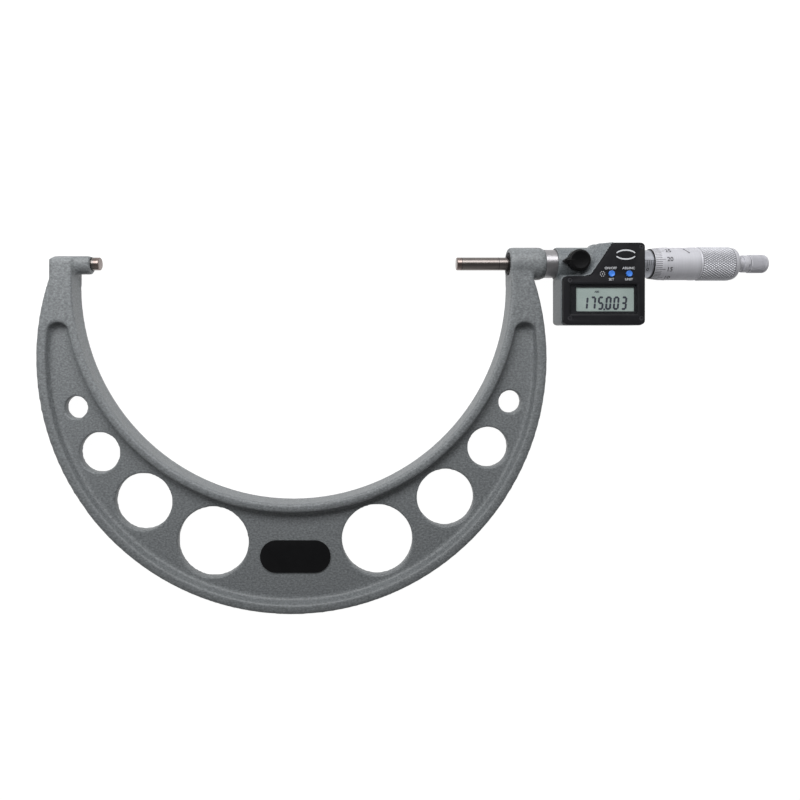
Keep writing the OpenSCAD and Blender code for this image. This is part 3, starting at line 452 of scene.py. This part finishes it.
def knurled_chrome():
    """Satin chrome with painted shade in the knurl's valleys: its colour darkens from the peaks down to the
    valley floor.
    """
    f = Finish("knurled_chrome", Metallic=0.3)
    y, z = (f.node("ShaderNodeSeparateXYZ", {}, f.place, output=axis) for axis in "YZ")
    square = y * y + z * z
    height = square.maths("SQRT", square).to(VALLEY_R * MM, (PEAK_R - 0.1) * MM)
    grain = f.noise(5200, 2.0)
    # Painted shade: darker towards the valley floor, lighter at the peaks
    tone = f.blend(height, linear(140, 140, 145), linear(216, 217, 223))
    f.coat(("Base Color", tone), ("Roughness", 0.46 + grain * 0.12), ("Normal", f.bump(grain, 0.008, 0.3)))
    return f.material


def rubber(name, dark, light):
    """Matt rubber with a fine grain and a little dust."""
    f = Finish(name, Specular_IOR_Level=0.25)
    grain = f.noise(3200, 3.0)
    dust = f.noise(240, 4.0)
    f.coat(("Base Color", f.blend(dust.to(0.45, 0.8) * 0.6, dark, light)),
           ("Roughness", 0.58 + grain * 0.2), ("Normal", f.bump(grain, 0.02, 0.4)))
    return f.material


def moulded(name, dark, light, rough, depth=0.012, scale=2600, **settings):
    """Moulded or lacquered surface with a fine grain and slight wear."""
    f = Finish(name, **settings)
    grain = f.cells(scale, 0.6)
    wear = f.noise(180, 5.0, 0.65)
    f.coat(("Base Color", f.blend(wear.to(0.4, 0.75) * 0.7, dark, light)),
           ("Roughness", rough + grain * 0.1 + wear * 0.08), ("Normal", f.bump(grain, depth, 0.35)))
    return f.material


def window_clear():
    """Clear pane with a faint haze."""
    f = Finish("window_clear", Base_Color=linear(60, 64, 66), Specular_IOR_Level=0.3)
    haze = f.noise(130, 4.0)
    f.coat(("Roughness", 0.04 + haze * 0.05), ("Alpha", 0.05 + haze.to(0.4, 0.8) * 0.03))
    return f.material


def display_glass():
    """Grey-green reflective panel, with a fine woven texture in its rear foil."""
    f = Finish("display_glass", Specular_IOR_Level=0.3)
    weave = f.noise(1.0, 1.0, 0.5, f.stretched(5200, 900, 900))
    cloud = f.noise(75, 2.0)
    tone = f.blend(cloud.to(0.3, 0.7), linear(160, 175, 171), linear(174, 188, 183))
    tone = f.blend(weave.to(0.5, 0.9) * 0.2, tone, linear(144, 158, 154))
    f.coat(("Base Color", tone), ("Roughness", 0.3 + weave * 0.1), ("Normal", f.bump(weave, 0.003, 0.2)))
    return f.material


def brushed(name, dark, light, rough):
    """Bare metal with fine strokes along X."""
    f = Finish(name, Metallic=1.0)
    strokes = f.noise(1.0, 4.0, 0.6, f.stretched(700, 5200, 700))
    spots = f.noise(320, 4.0)
    tone = f.blend(strokes.to(0.3, 0.7), dark, light)
    tone = f.blend(spots.to(0.55, 0.8) * 0.3, tone, dark)
    f.coat(("Base Color", tone), ("Roughness", rough + strokes * 0.12 + spots * 0.08),
           ("Normal", f.bump(strokes, 0.006, 0.3)))
    return f.material


finishes = {
    "frame_paint": frame_paint(),
    "housing_paint": housing_paint(),
    "plate_black": moulded("plate_black", linear(6, 6, 8), linear(13, 13, 15), 0.3, 0.01, 3000,
                           Specular_IOR_Level=0.25),
    "ground_steel": ground_steel(),
    "hard_metal": hard_metal(),
    "satin_chrome": satin("satin_chrome", linear(180, 180, 186), linear(196, 196, 202), 0.5, 0.2),
    "bright_chrome": satin("bright_chrome", linear(150, 152, 159), linear(172, 174, 181), 0.34, 0.7),
    "stem_chrome": satin("stem_chrome", linear(134, 132, 134), linear(152, 151, 154), 0.26, 0.95),
    "knurled_chrome": knurled_chrome(),
    "black_rubber": rubber("black_rubber", linear(9, 9, 10), linear(20, 19, 19)),
    "contact_rubber": rubber("contact_rubber", linear(224, 186, 190), linear(196, 150, 160)),
    "cover_black": moulded("cover_black", linear(26, 26, 29), linear(33, 33, 36), 0.4, 0.012, 3600,
                           Specular_IOR_Level=0.15),
    "window_clear": window_clear(),
    "display_glass": display_glass(),
    "white_plastic": moulded("white_plastic", linear(232, 232, 226), linear(214, 213, 204), 0.4),
    "board_green": moulded("board_green", linear(30, 96, 58), linear(44, 118, 72), 0.3, 0.02, 1200),
    "chip_black": moulded("chip_black", linear(30, 30, 33), linear(46, 46, 49), 0.5, 0.02, 3400),
    "screw_steel": brushed("screw_steel", linear(62, 62, 66), linear(96, 96, 100), 0.3),
    "cell_steel": brushed("cell_steel", linear(196, 196, 198), linear(216, 216, 218), 0.22),
    "contact_brass": brushed("contact_brass", linear(196, 158, 84), linear(218, 184, 112), 0.26),
    "ribbon_amber": moulded("ribbon_amber", linear(206, 142, 60), linear(184, 118, 42), 0.3, 0.01, 900),
    "lever_black": moulded("lever_black", linear(8, 8, 9), linear(14, 14, 16), 0.32, 0.012, 3000,
                           Specular_IOR_Level=0.12),
    "button_blue": moulded("button_blue", linear(56, 120, 218), linear(84, 146, 236), 0.24, 0.008, 2600,
                           Coat_Weight=0.25, Coat_Roughness=0.12),
    "cap_grey": moulded("cap_grey", linear(118, 120, 122), linear(98, 100, 103), 0.42, 0.02, 2400),
    # Printed and engraved marks; on the thimble's front edge the same black is a painted shadow
    "mark_black": moulded("mark_black", linear(22, 20, 22), linear(40, 38, 40), 0.5, 0.006, 4200,
                          Specular_IOR_Level=0.25),
    "digit_ink": moulded("digit_ink", linear(48, 50, 62), linear(58, 60, 72), 0.45, 0.004, 4200),
    "print_white": moulded("print_white", linear(206, 208, 212), linear(182, 184, 190), 0.5, 0.006, 4200),
}


def finish(piece, *names):
    """Gives a piece its materials, the first one all over."""
    piece.data.materials.clear()
    for name in names:
        piece.data.materials.append(finishes[name])
    return piece


for part in frame["record"]["subparts"]:
    node = frame["nodes"][part["node"]]
    if len(node.material_slots) == 0:
        node.data.materials.append(finishes[part["material_slot"]])
    for holder in node.material_slots:
        holder.material = finishes[part["material_slot"]]
for name, slot in (("stem_tube", "stem_chrome"), ("graduated_sleeve", "bright_chrome")):
    frame["nodes"][name].material_slots[0].material = finishes[slot]


# Castings

def casting(node, name, voxel, rounds, slot, *added):
    """A casting with soft edges: the CAD shape drawn again in small even faces, then smoothed."""
    piece = copy_of(node, name)
    if added:
        piece = joined(name, [piece, *added])
    modifier(piece, "REMESH", mode="VOXEL", voxel_size=voxel * MM, adaptivity=0.0, use_smooth_shade=True)
    modifier(piece, "SMOOTH", factor=0.5, iterations=rounds)
    only(piece)
    bpy.ops.object.shade_smooth()
    finish(piece, slot)
    return stands_for(piece, "frame", slot, node)


casting("frame_casting", "cast_frame", 0.8, 1, "frame_paint")


def cover_bank():
    """Bank beside the cover's slanted edge: it brings the casing up to the cover's face."""
    foot, top = 8, 12.35
    corner = (237.35, -5.95)
    outline = [(233.3, -6.45), (236.6, -6.45), corner, (246.79, 8), (247.25, 8.6), (247.9, 9),
               (248.3, 9.2), (243.9, 9.2)]
    falls_away = (-0.995, 0.671, 1)
    bank = prism("bank", outline, foot, top)
    edit(bank)
    bpy.ops.mesh.bisect(plane_co=mm(*corner, top), plane_no=falls_away, clear_outer=True, use_fill=True)
    done()
    return tidy_faces(bank)


casting("housing", "head_casing", 0.4, 2, "housing_paint", cover_bank())


# Thimble

edge_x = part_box("thimble")[0].x / MM
rear_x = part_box("thimble")[1].x / MM
rear_round = 2.8
knurl_l = 16
knurl_end = rear_x - rear_round
knurl_x = knurl_end - knurl_l
bevel_l = 5.2
mouth_r, body_r, bore_r, neck_r = 7.3, 7.95, 6.95, 3.5
bevel_tilt = math.degrees(math.atan((body_r - mouth_r) / bevel_l))


def knurled_thimble():
    """Thimble with its bevel, a bead before the knurl, and pyramids in rows and columns."""
    seat_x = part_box("inner_sleeve")[1].x / MM + 0.8
    seat_end = seat_x + 6.4
    rows, columns = 18, 88
    step = knurl_l / rows
    bevel_end = edge_x + bevel_l
    profile = [(bore_r, seat_x), (bore_r, edge_x + 0.12), (bore_r + 0.12, edge_x),
               (mouth_r - 0.08, edge_x), (mouth_r, edge_x + 0.08), (mouth_r + 0.07, edge_x + 0.55),
               (body_r - 0.02, bevel_end - 0.1), (body_r, bevel_end + 0.1), (body_r, knurl_x - 4.8),
               (body_r + 0.03, knurl_x - 4.5), (body_r + 0.12, knurl_x - 3.6),
               (body_r + 0.15, knurl_x - 3.2), (body_r + 0.15, knurl_x - 1.2),
               (body_r + 0.08, knurl_x - 1.1), (body_r - 0.3, knurl_x - 0.95),
               (body_r - 0.3, knurl_x - 0.6), (VALLEY_R, knurl_x)]
    profile += [(VALLEY_R, knurl_x + step * i) for i in range(1, rows + 1)]
    steps = 7
    corner = round_corner(PEAK_R, rear_x, rear_round, steps)
    profile += [(r - (PEAK_R - VALLEY_R) * (1 - i / steps), x) for i, (r, x) in enumerate(corner)][1:]
    profile += [(neck_r + 0.1, rear_x), (neck_r + 0.02, rear_x - 0.1), (neck_r, seat_end),
                (2.2, seat_end), (2.4, seat_x), (bore_r, seat_x)]
    piece = turned("turned_thimble", profile, columns)

    def peak(vertex):
        x, y, z = vertex.co / MM
        row = (x - knurl_x) / step
        if row < 0.5 or row > rows - 0.5 or math.hypot(y, z) < VALLEY_R - 0.15:
            return False
        column = math.atan2(y, z) / TURN * columns
        return (round(row) + round(column)) % 2 == 1

    edit(piece, "vertices", peak)
    share = PEAK_R / VALLEY_R
    bpy.ops.transform.resize(value=(1, share, share), center_override=(0, 0, 0))
    done()

    def on_knurl(face):
        x, y, z = face.center / MM
        return knurl_x < x < knurl_end and math.hypot(y, z) > VALLEY_R - 0.3

    edit(piece, "polygons", on_knurl)
    bpy.ops.mesh.quads_convert_to_tris(quad_method="SHORTEST_DIAGONAL", ngon_method="BEAUTY")
    done()
    smooth(piece, 14)
    finish(piece, "satin_chrome", "mark_black", "knurled_chrome")
    # Faces at the front edge take mark_black as a painted shadow: the dark of the gap between thimble and
    # sleeve
    for face in piece.data.polygons:
        x, y, z = face.center / MM
        if x < edge_x + 0.5 and math.hypot(y, z) > bore_r + 0.05:
            face.material_index = 1
        elif on_knurl(face):
            face.material_index = 2
    return stands_for(piece, "spindle_set", "satin_chrome", "thimble")


knurled_thimble()


def thimble_line(length):
    """One engraved line that lies along the top of the bevel."""
    start = 0.8
    line = bar_box("line", (start, -0.1, -0.04), (start + length, 0.1, 0.012), 0.015)
    line = placed(line, about_y=-bevel_tilt)
    return placed(line, (edge_x, 0, mouth_r))


def line_turn(k):
    """Where line k of the fifty stands: 20 is a little above the top, as in the photograph."""
    return 10.9 + (k - 20) * 360 / 50


def thimble_marks():
    """A line each fiftieth of a turn, longer every five, with a figure."""
    pieces = []
    for length, fives in ((4.5, True), (3.0, False)):
        angles = [line_turn(k) for k in range(50) if (k % 5 == 0) == fives]
        pieces += repeated(thimble_line(length), angles)
    figure_spot = (edge_x + 7.3, 0, body_r - 0.03)
    for k in range(0, 50, 5):
        pieces.append(lettering(str(k), 3.0, figure_spot, line_turn(k), 0.1, 0.03))
    marks = joined("thimble_lines", pieces)
    finish(marks, "mark_black")
    return stands_for(marks, "spindle_set", "plate_black")


thimble_marks()


def sleeve_marks():
    """Index line, a line each millimetre below it and a figure every five."""
    sleeve_r = 6.8
    first_x = edge_x - 3.3
    index_x, index_end = 263.3, 294.2
    index_turn, figure_turn = 9.2, 38
    low, high = sleeve_r - 0.05, sleeve_r + 0.014
    index = bar_box("index", (index_x, -0.08, low), (index_end, 0.08, high + 0.001))
    pieces = [placed(index, about_x=-index_turn)]
    for k in range(26):
        reach = 26 if k % 5 == 0 else 20
        x = first_x + k
        for turn in range(0, reach, 2):
            tick = bar_box("tick", (x - 0.08, -0.125, low), (x + 0.08, 0.125, high))
            pieces.append(placed(tick, about_x=turn + 1 - index_turn))
        if k % 5 == 0:
            spot = (x + 0.4, 0, sleeve_r - 0.03)
            pieces.append(lettering(str(k), 2.4, spot, index_turn - figure_turn, 0.09, 0.02))
    marks = joined("sleeve_lines", pieces)
    finish(marks, "mark_black")
    return stands_for(marks, "frame", "plate_black")


sleeve_marks()


def thimble_slit():
    """Narrow cut across the thimble, near its top edge in the photograph."""
    slant, turn, x = 58, 47, edge_x + 16.2
    slit = bar_box("thimble_slit", (-1.9, -0.2, body_r - 0.25), (1.9, 0.2, body_r + 0.012), 0.03)
    slit = placed(slit, about_z=-slant)
    slit = placed(slit, (x, 0, 0))
    slit = placed(slit, about_x=-turn)
    finish(slit, "mark_black")
    return stands_for(slit, "spindle_set", "plate_black")


thimble_slit()


def spindle_rings():
    """Two fine dark rings round the spindle: at the hard tip's joint and near the seal."""
    spindle_r = 3.175
    tip_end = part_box("spindle_tip")[1].x / MM
    near_seal = 195.6
    under, over = spindle_r - 0.05, spindle_r + 0.008
    pieces = []
    for x in (tip_end, near_seal):
        profile = [(under, x - 0.11), (over, x - 0.1), (over, x + 0.1), (under, x + 0.11),
                   (under, x - 0.11)]
        pieces.append(turned("ring", profile, 72))
    rings = joined("spindle_rings", pieces)
    smooth(rings, 40)
    finish(rings, "mark_black")
    return stands_for(rings, "spindle_set", "plate_black")


spindle_rings()


# Ratchet knob

def fluted_knob():
    """Hollow knob with fine grooves along its side and a rounded end."""
    low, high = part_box("ratchet_knob")
    start, end = low.x / MM, high.x / MM
    radius, bore, depth = 4.45, 2.9, 5.2
    floor_x = start + depth
    grooves, groove_share = 48, 0.955
    sides = grooves * 3
    profile = [(bore, floor_x), (bore, start + 0.1), (bore + 0.1, start), (radius - 0.25, start),
               (radius, start + 0.25), (radius, end - 1.9)]
    profile += round_corner(radius, end, 1.5, 6)
    profile += [(1.2, end), (0.3, end), (0.02, end - 0.02), (0.02, floor_x), (bore, floor_x)]
    piece = turned("fluted_knob", profile, sides)

    def groove(vertex):
        x, y, z = vertex.co / MM
        if math.hypot(y, z) < radius - 0.05 or x < start + 0.2 or x > end - 1.6:
            return False
        return round(math.atan2(y, z) / TURN * sides) % 3 == 0

    edit(piece, "vertices", groove)
    bpy.ops.transform.resize(value=(1, groove_share, groove_share), center_override=(0, 0, 0))
    done()
    smooth(piece, 20)
    finish(piece, "satin_chrome")
    return stands_for(piece, "ratchet", "satin_chrome", "ratchet_knob")


fluted_knob()


# Lock lever

def lock_lever():
    """Round cap with a beak: the CAD shape with soft edges, a raised disc and a ridge on the beak."""
    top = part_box("lock_lever")[1].z / MM
    # The middle of the cap
    x, y = 231.903, 0.8
    disc_r = 4.05
    body = copy_of("lock_lever", "lever_cap")
    rounded(body, 0.3, 3, 50)
    bpy.ops.object.select_all(action="DESELECT")
    bpy.ops.mesh.primitive_cylinder_add(vertices=72, radius=disc_r * MM, depth=0.3 * MM,
                                        location=mm(x, y, top - 0.02))
    disc = named("lever_disc")
    edit(disc, "polygons", lambda f: f.normal.z > 0.9)
    bpy.ops.mesh.inset(thickness=0.25 * MM, depth=-0.1 * MM)
    done()
    rounded(disc, 0.05, 2)
    ridge = bar_box("lever_ridge", (x - 6.9, y - 1.0, top - 0.7), (x - 2.4, y + 0.7, top + 0.1))
    edit(ridge, "vertices", lambda v: v.co.z / MM > top - 0.2)
    bpy.ops.transform.resize(value=(0.86, 0.35, 1), center_override=mm(x - 3.4, y - 0.15, top))
    done()
    rounded(ridge, 0.16, 3)
    piece = joined("lock_handle", [body, disc, ridge])
    smooth(piece, 35)
    finish(piece, "lever_black")
    return stands_for(piece, "lock", "lever_black", "lock_lever")


lock_lever()


# Push buttons

def push_button(node, body):
    """Button with a dished top and a rounded rim, on its narrower stem."""
    low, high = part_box(node)
    centre = (low + high) / 2 / MM
    base, top = low.z / MM, high.z / MM
    r, stem_r, stem_top = 1.45, 1.2, 10.2
    profile = [(0.05, base), (stem_r, base), (stem_r, stem_top), (r, stem_top + 0.1), (r, top - 0.25),
               (r - 0.07, top - 0.07), (r - 0.25, top), (r - 0.42, top - 0.06), (0.75, top - 0.17),
               (0.35, top - 0.2), (0.05, top - 0.2), (0.05, base)]
    piece = turned(node + "_top", profile, 48)
    piece = placed(piece, (centre.x, centre.y, 0), about_y=-90)
    smooth(piece, 45)
    finish(piece, "button_blue")
    return stands_for(piece, body, "button_blue", node)


push_button("power_button", "power")
push_button("unit_button", "unit")


# Plates and cover

def softened(node, name, width, slot, body="frame", segments=2, angle=40):
    """A CAD shape with its edges rounded."""
    piece = copy_of(node, name)
    rounded(piece, width, segments, angle)
    smooth(piece, 35)
    finish(piece, slot)
    return stands_for(piece, body, slot, node)


softened("front_cover", "display_cover", 0.12, "cover_black", segments=3, angle=50)
softened("name_plate", "bare_plate", 0.35, "plate_black", segments=3)
softened("battery_cap", "cell_cap", 0.15, "cap_grey", "cap")
softened("wiper_seal", "wiper_ring", 0.1, "black_rubber")
softened("ratchet_body", "stop_neck", 0.08, "satin_chrome", "spindle_set")

# Height of the cover's face
FACE = 12.4


def crescent(centre, size, side):
    """Upper or lower half of an oval mark, thick in its middle and thin towards its tips."""
    band, flatter, tip_gap = 0.42, 0.88, 0.55
    bpy.ops.object.select_all(action="DESELECT")
    bpy.ops.mesh.primitive_circle_add(vertices=64, radius=MM, fill_type="NGON",
                                      location=mm(*centre, FACE - 0.01))
    bpy.context.object.scale = (*size, 1)
    oval = named("oval")
    edit(oval)
    bpy.ops.mesh.inset(thickness=band * MM)
    bpy.ops.mesh.delete(type="FACE")
    done()
    edit(oval, "vertices", lambda v: math.hypot((v.co.x / MM - centre[0]) / size[0],
                                                (v.co.y / MM - centre[1]) / size[1]) < 0.97)
    bpy.ops.transform.resize(value=(1, flatter, 1), center_override=mm(*centre, FACE))
    done()
    edit(oval, "vertices", lambda v: (v.co.y / MM - centre[1]) * side < tip_gap)
    bpy.ops.mesh.delete(type="VERT")
    done()
    edit(oval)
    bpy.ops.mesh.extrude_region_move(TRANSFORM_OT_translate={"value": mm(0, 0, 0.035)})
    done()
    return oval


def dot(centre, radius):
    """A printed dot on the cover."""
    bpy.ops.object.select_all(action="DESELECT")
    bpy.ops.mesh.primitive_cylinder_add(vertices=12, radius=radius * MM, depth=0.05 * MM,
                                        location=mm(*centre, FACE))
    return named("dot")


def print_labels():
    """Words beside the buttons, a ring of dots round one dot, and both halves of the oval mark."""
    spots = {"ON/OFF": (246.3, -3.2), "ABS/INC": (254.8, -3.2), "SET": (246.6, -8.5), "UNIT": (254.9, -8.5)}
    pieces = [lettering(words, 1.6, (x, y, FACE), 0, 0.05, 0.012) for words, (x, y) in spots.items()]
    oval_at, oval_size = (253.45, 3.25), (4.9, 2.45)
    pieces += [crescent(oval_at, oval_size, side) for side in (-1, 1)]
    ring_x, ring_y, ring_r, dots = 242.4, -5.9, 1.1, 8
    for k in range(dots):
        turn = TURN * (k + 0.5) / dots
        pieces.append(dot((ring_x + ring_r * math.cos(turn), ring_y + ring_r * math.sin(turn)), 0.2))
    pieces.append(dot((ring_x, ring_y), 0.25))
    marks = joined("cover_print", pieces)
    finish(marks, "print_white")
    return stands_for(marks, "frame", "white_plastic")


print_labels()


# Display figures

# Which of its seven bars each figure shows, and each bar's place: across, up, and whether it lies
FIGURE_BARS = {"0": "abcdef", "1": "bc", "3": "abcdg", "5": "acdfg", "7": "abc"}
BAR_SPOTS = {"a": (0, 1, True), "b": (1, 0.5, False), "c": (1, -0.5, False), "d": (0, -1, True),
             "e": (-1, -0.5, False), "f": (-1, 0.5, False), "g": (0, 0, True)}


def figure_bar(length):
    """A flat bar with pointed ends, lying along X: a six-sided disc drawn out."""
    width, height = 0.95, 0.05
    radius = width / math.sqrt(3)
    bpy.ops.object.select_all(action="DESELECT")
    bpy.ops.mesh.primitive_cylinder_add(vertices=6, radius=radius * MM, depth=height * MM,
                                        rotation=(0, 0, rad(30)))
    bar = named("bar")
    for side in (-1, 1):
        edit(bar, "vertices", lambda v: v.co.x * side > 0.1 * radius * MM)
        bpy.ops.transform.translate(value=mm(side * (length / 2 - radius), 0, 0))
        done()
    return bar


def display_figures():
    """The reading, its point and the small word above it, on top of the panel."""
    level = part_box("lcd_panel")[1].z / MM + 0.02
    middle_y = -19.7
    half_wide, half_high = 0.95, 2.75
    lean = 5
    reading = [("1", 234.85), ("7", 238.54), ("5", 242.24), ("0", 245.94), ("0", 249.63), ("3", 253.33)]
    pieces = []
    for figure, x in reading:
        for name in FIGURE_BARS[figure]:
            side, up, lying = BAR_SPOTS[name]
            bar = figure_bar(2 * half_wide - 0.1 if lying else half_high - 0.1)
            if not lying:
                bar = placed(bar, about_z=90 - lean)
            bar_x = x + side * half_wide + math.tan(rad(lean)) * up * half_high
            pieces.append(placed(bar, (bar_x, middle_y + up * half_high, level)))
    pieces.append(bar_box("point", (243.5, -23.1, level - 0.02), (244.4, -22.25, level + 0.03)))
    pieces.append(lettering("ABS", 1.3, (240.4, -14.3, level), 0, 0.05, 0.04))
    figures = joined("display_figures", pieces)
    finish(figures, "digit_ink")
    return stands_for(figures, "frame", "chip_black")


display_figures()


# Carried-over nodes with smooth turned sides

for name in ("anvil", "spindle", "stem_tube", "graduated_sleeve", "anvil_tip", "spindle_tip",
             "cover_screws", "battery", "battery_cap_seal", "inner_sleeve", "adjusting_nut"):
    smooth(frame["nodes"][name], 30)


# Floor

def pale_floor():
    """White paper: the camera sees it white, and it keeps the soft shadow."""
    floor_z = cad_box[0][2] - 0.2 * MM
    bpy.ops.object.select_all(action="DESELECT")
    bpy.ops.mesh.primitive_plane_add(size=6, location=(0.15, -0.05, floor_z))
    floor = named("floor")
    paper = Finish("paper", Base_Color=(0.86, 0.86, 0.86, 1), Roughness=0.9)
    grain = paper.noise(900, 3.0)
    paper.coat(("Normal", paper.bump(grain, 0.02, 0.2)))
    glow = paper.node("ShaderNodeEmission", {}, Color=(1, 1, 1, 1), Strength=1.14)
    lit = Value(paper, paper.shader.outputs[0])
    mixed = paper.node("ShaderNodeMixShader", {}, paper.ray() * 0.87, lit, glow)
    paper.join(mixed, paper.out.inputs[0])
    floor.data.materials.append(paper.material)


pale_floor()


# Light

def studio_world():
    """White low down on the lamp's side, dim overhead, as under a studio's dark ceiling."""
    world = bpy.data.worlds.new("studio")
    bpy.context.scene.world = world
    world.use_nodes = True
    sky = Net(world.node_tree)
    towards = sky.node("ShaderNodeTexCoord", {}, output="Generated")
    y, z = (sky.node("ShaderNodeSeparateXYZ", {}, towards, output=axis) for axis in "YZ")
    low_down = 1 - z.to(0.3, 0.94)
    horizon = 1 - z.to(0.05, 0.2)
    lamp_side = (y.to(-0.6, 0.5) + horizon).to(0.0, 1.0)
    shown = low_down * (0.45 + lamp_side * 0.55) * 0.82 + 0.18
    seen = sky.ray()
    level = seen * shown + (1 - seen) * 0.14
    light = sky.node("ShaderNodeBackground", {}, (1, 1, 1, 1), level)
    sky.node("ShaderNodeOutputWorld", {}, light)


studio_world()


def lamp(name, place, aim, size, power):
    """A flat lamp, wide along its own X, that shines towards a point."""
    data = bpy.data.lights.new(name, "AREA")
    data.shape = "RECTANGLE"
    data.size, data.size_y = size
    data.energy = power
    holder = bpy.data.objects.new(name, data)
    bpy.context.scene.collection.objects.link(holder)
    holder.location = place
    holder.rotation_euler = (Vector(aim) - holder.location).to_track_quat("-Z", "Y").to_euler()


lamp("key", (0.06, 0.19, 0.25), (0.09, 0.06, 0), (0.6, 0.2), 2.25)


# Camera

camera_data = bpy.data.cameras.new("camera")
camera_data.lens = 30.597
camera_data.sensor_width = 36
camera_data.shift_x = 0.06125
camera_data.shift_y = -0.0875
camera_data.clip_start = 0.01
camera = bpy.data.objects.new("camera", camera_data)
bpy.context.scene.collection.objects.link(camera)
camera.location = (0.1232, -0.0325, 0.3346)
bpy.context.scene.camera = camera
bpy.context.scene.view_settings.view_transform = "Standard"
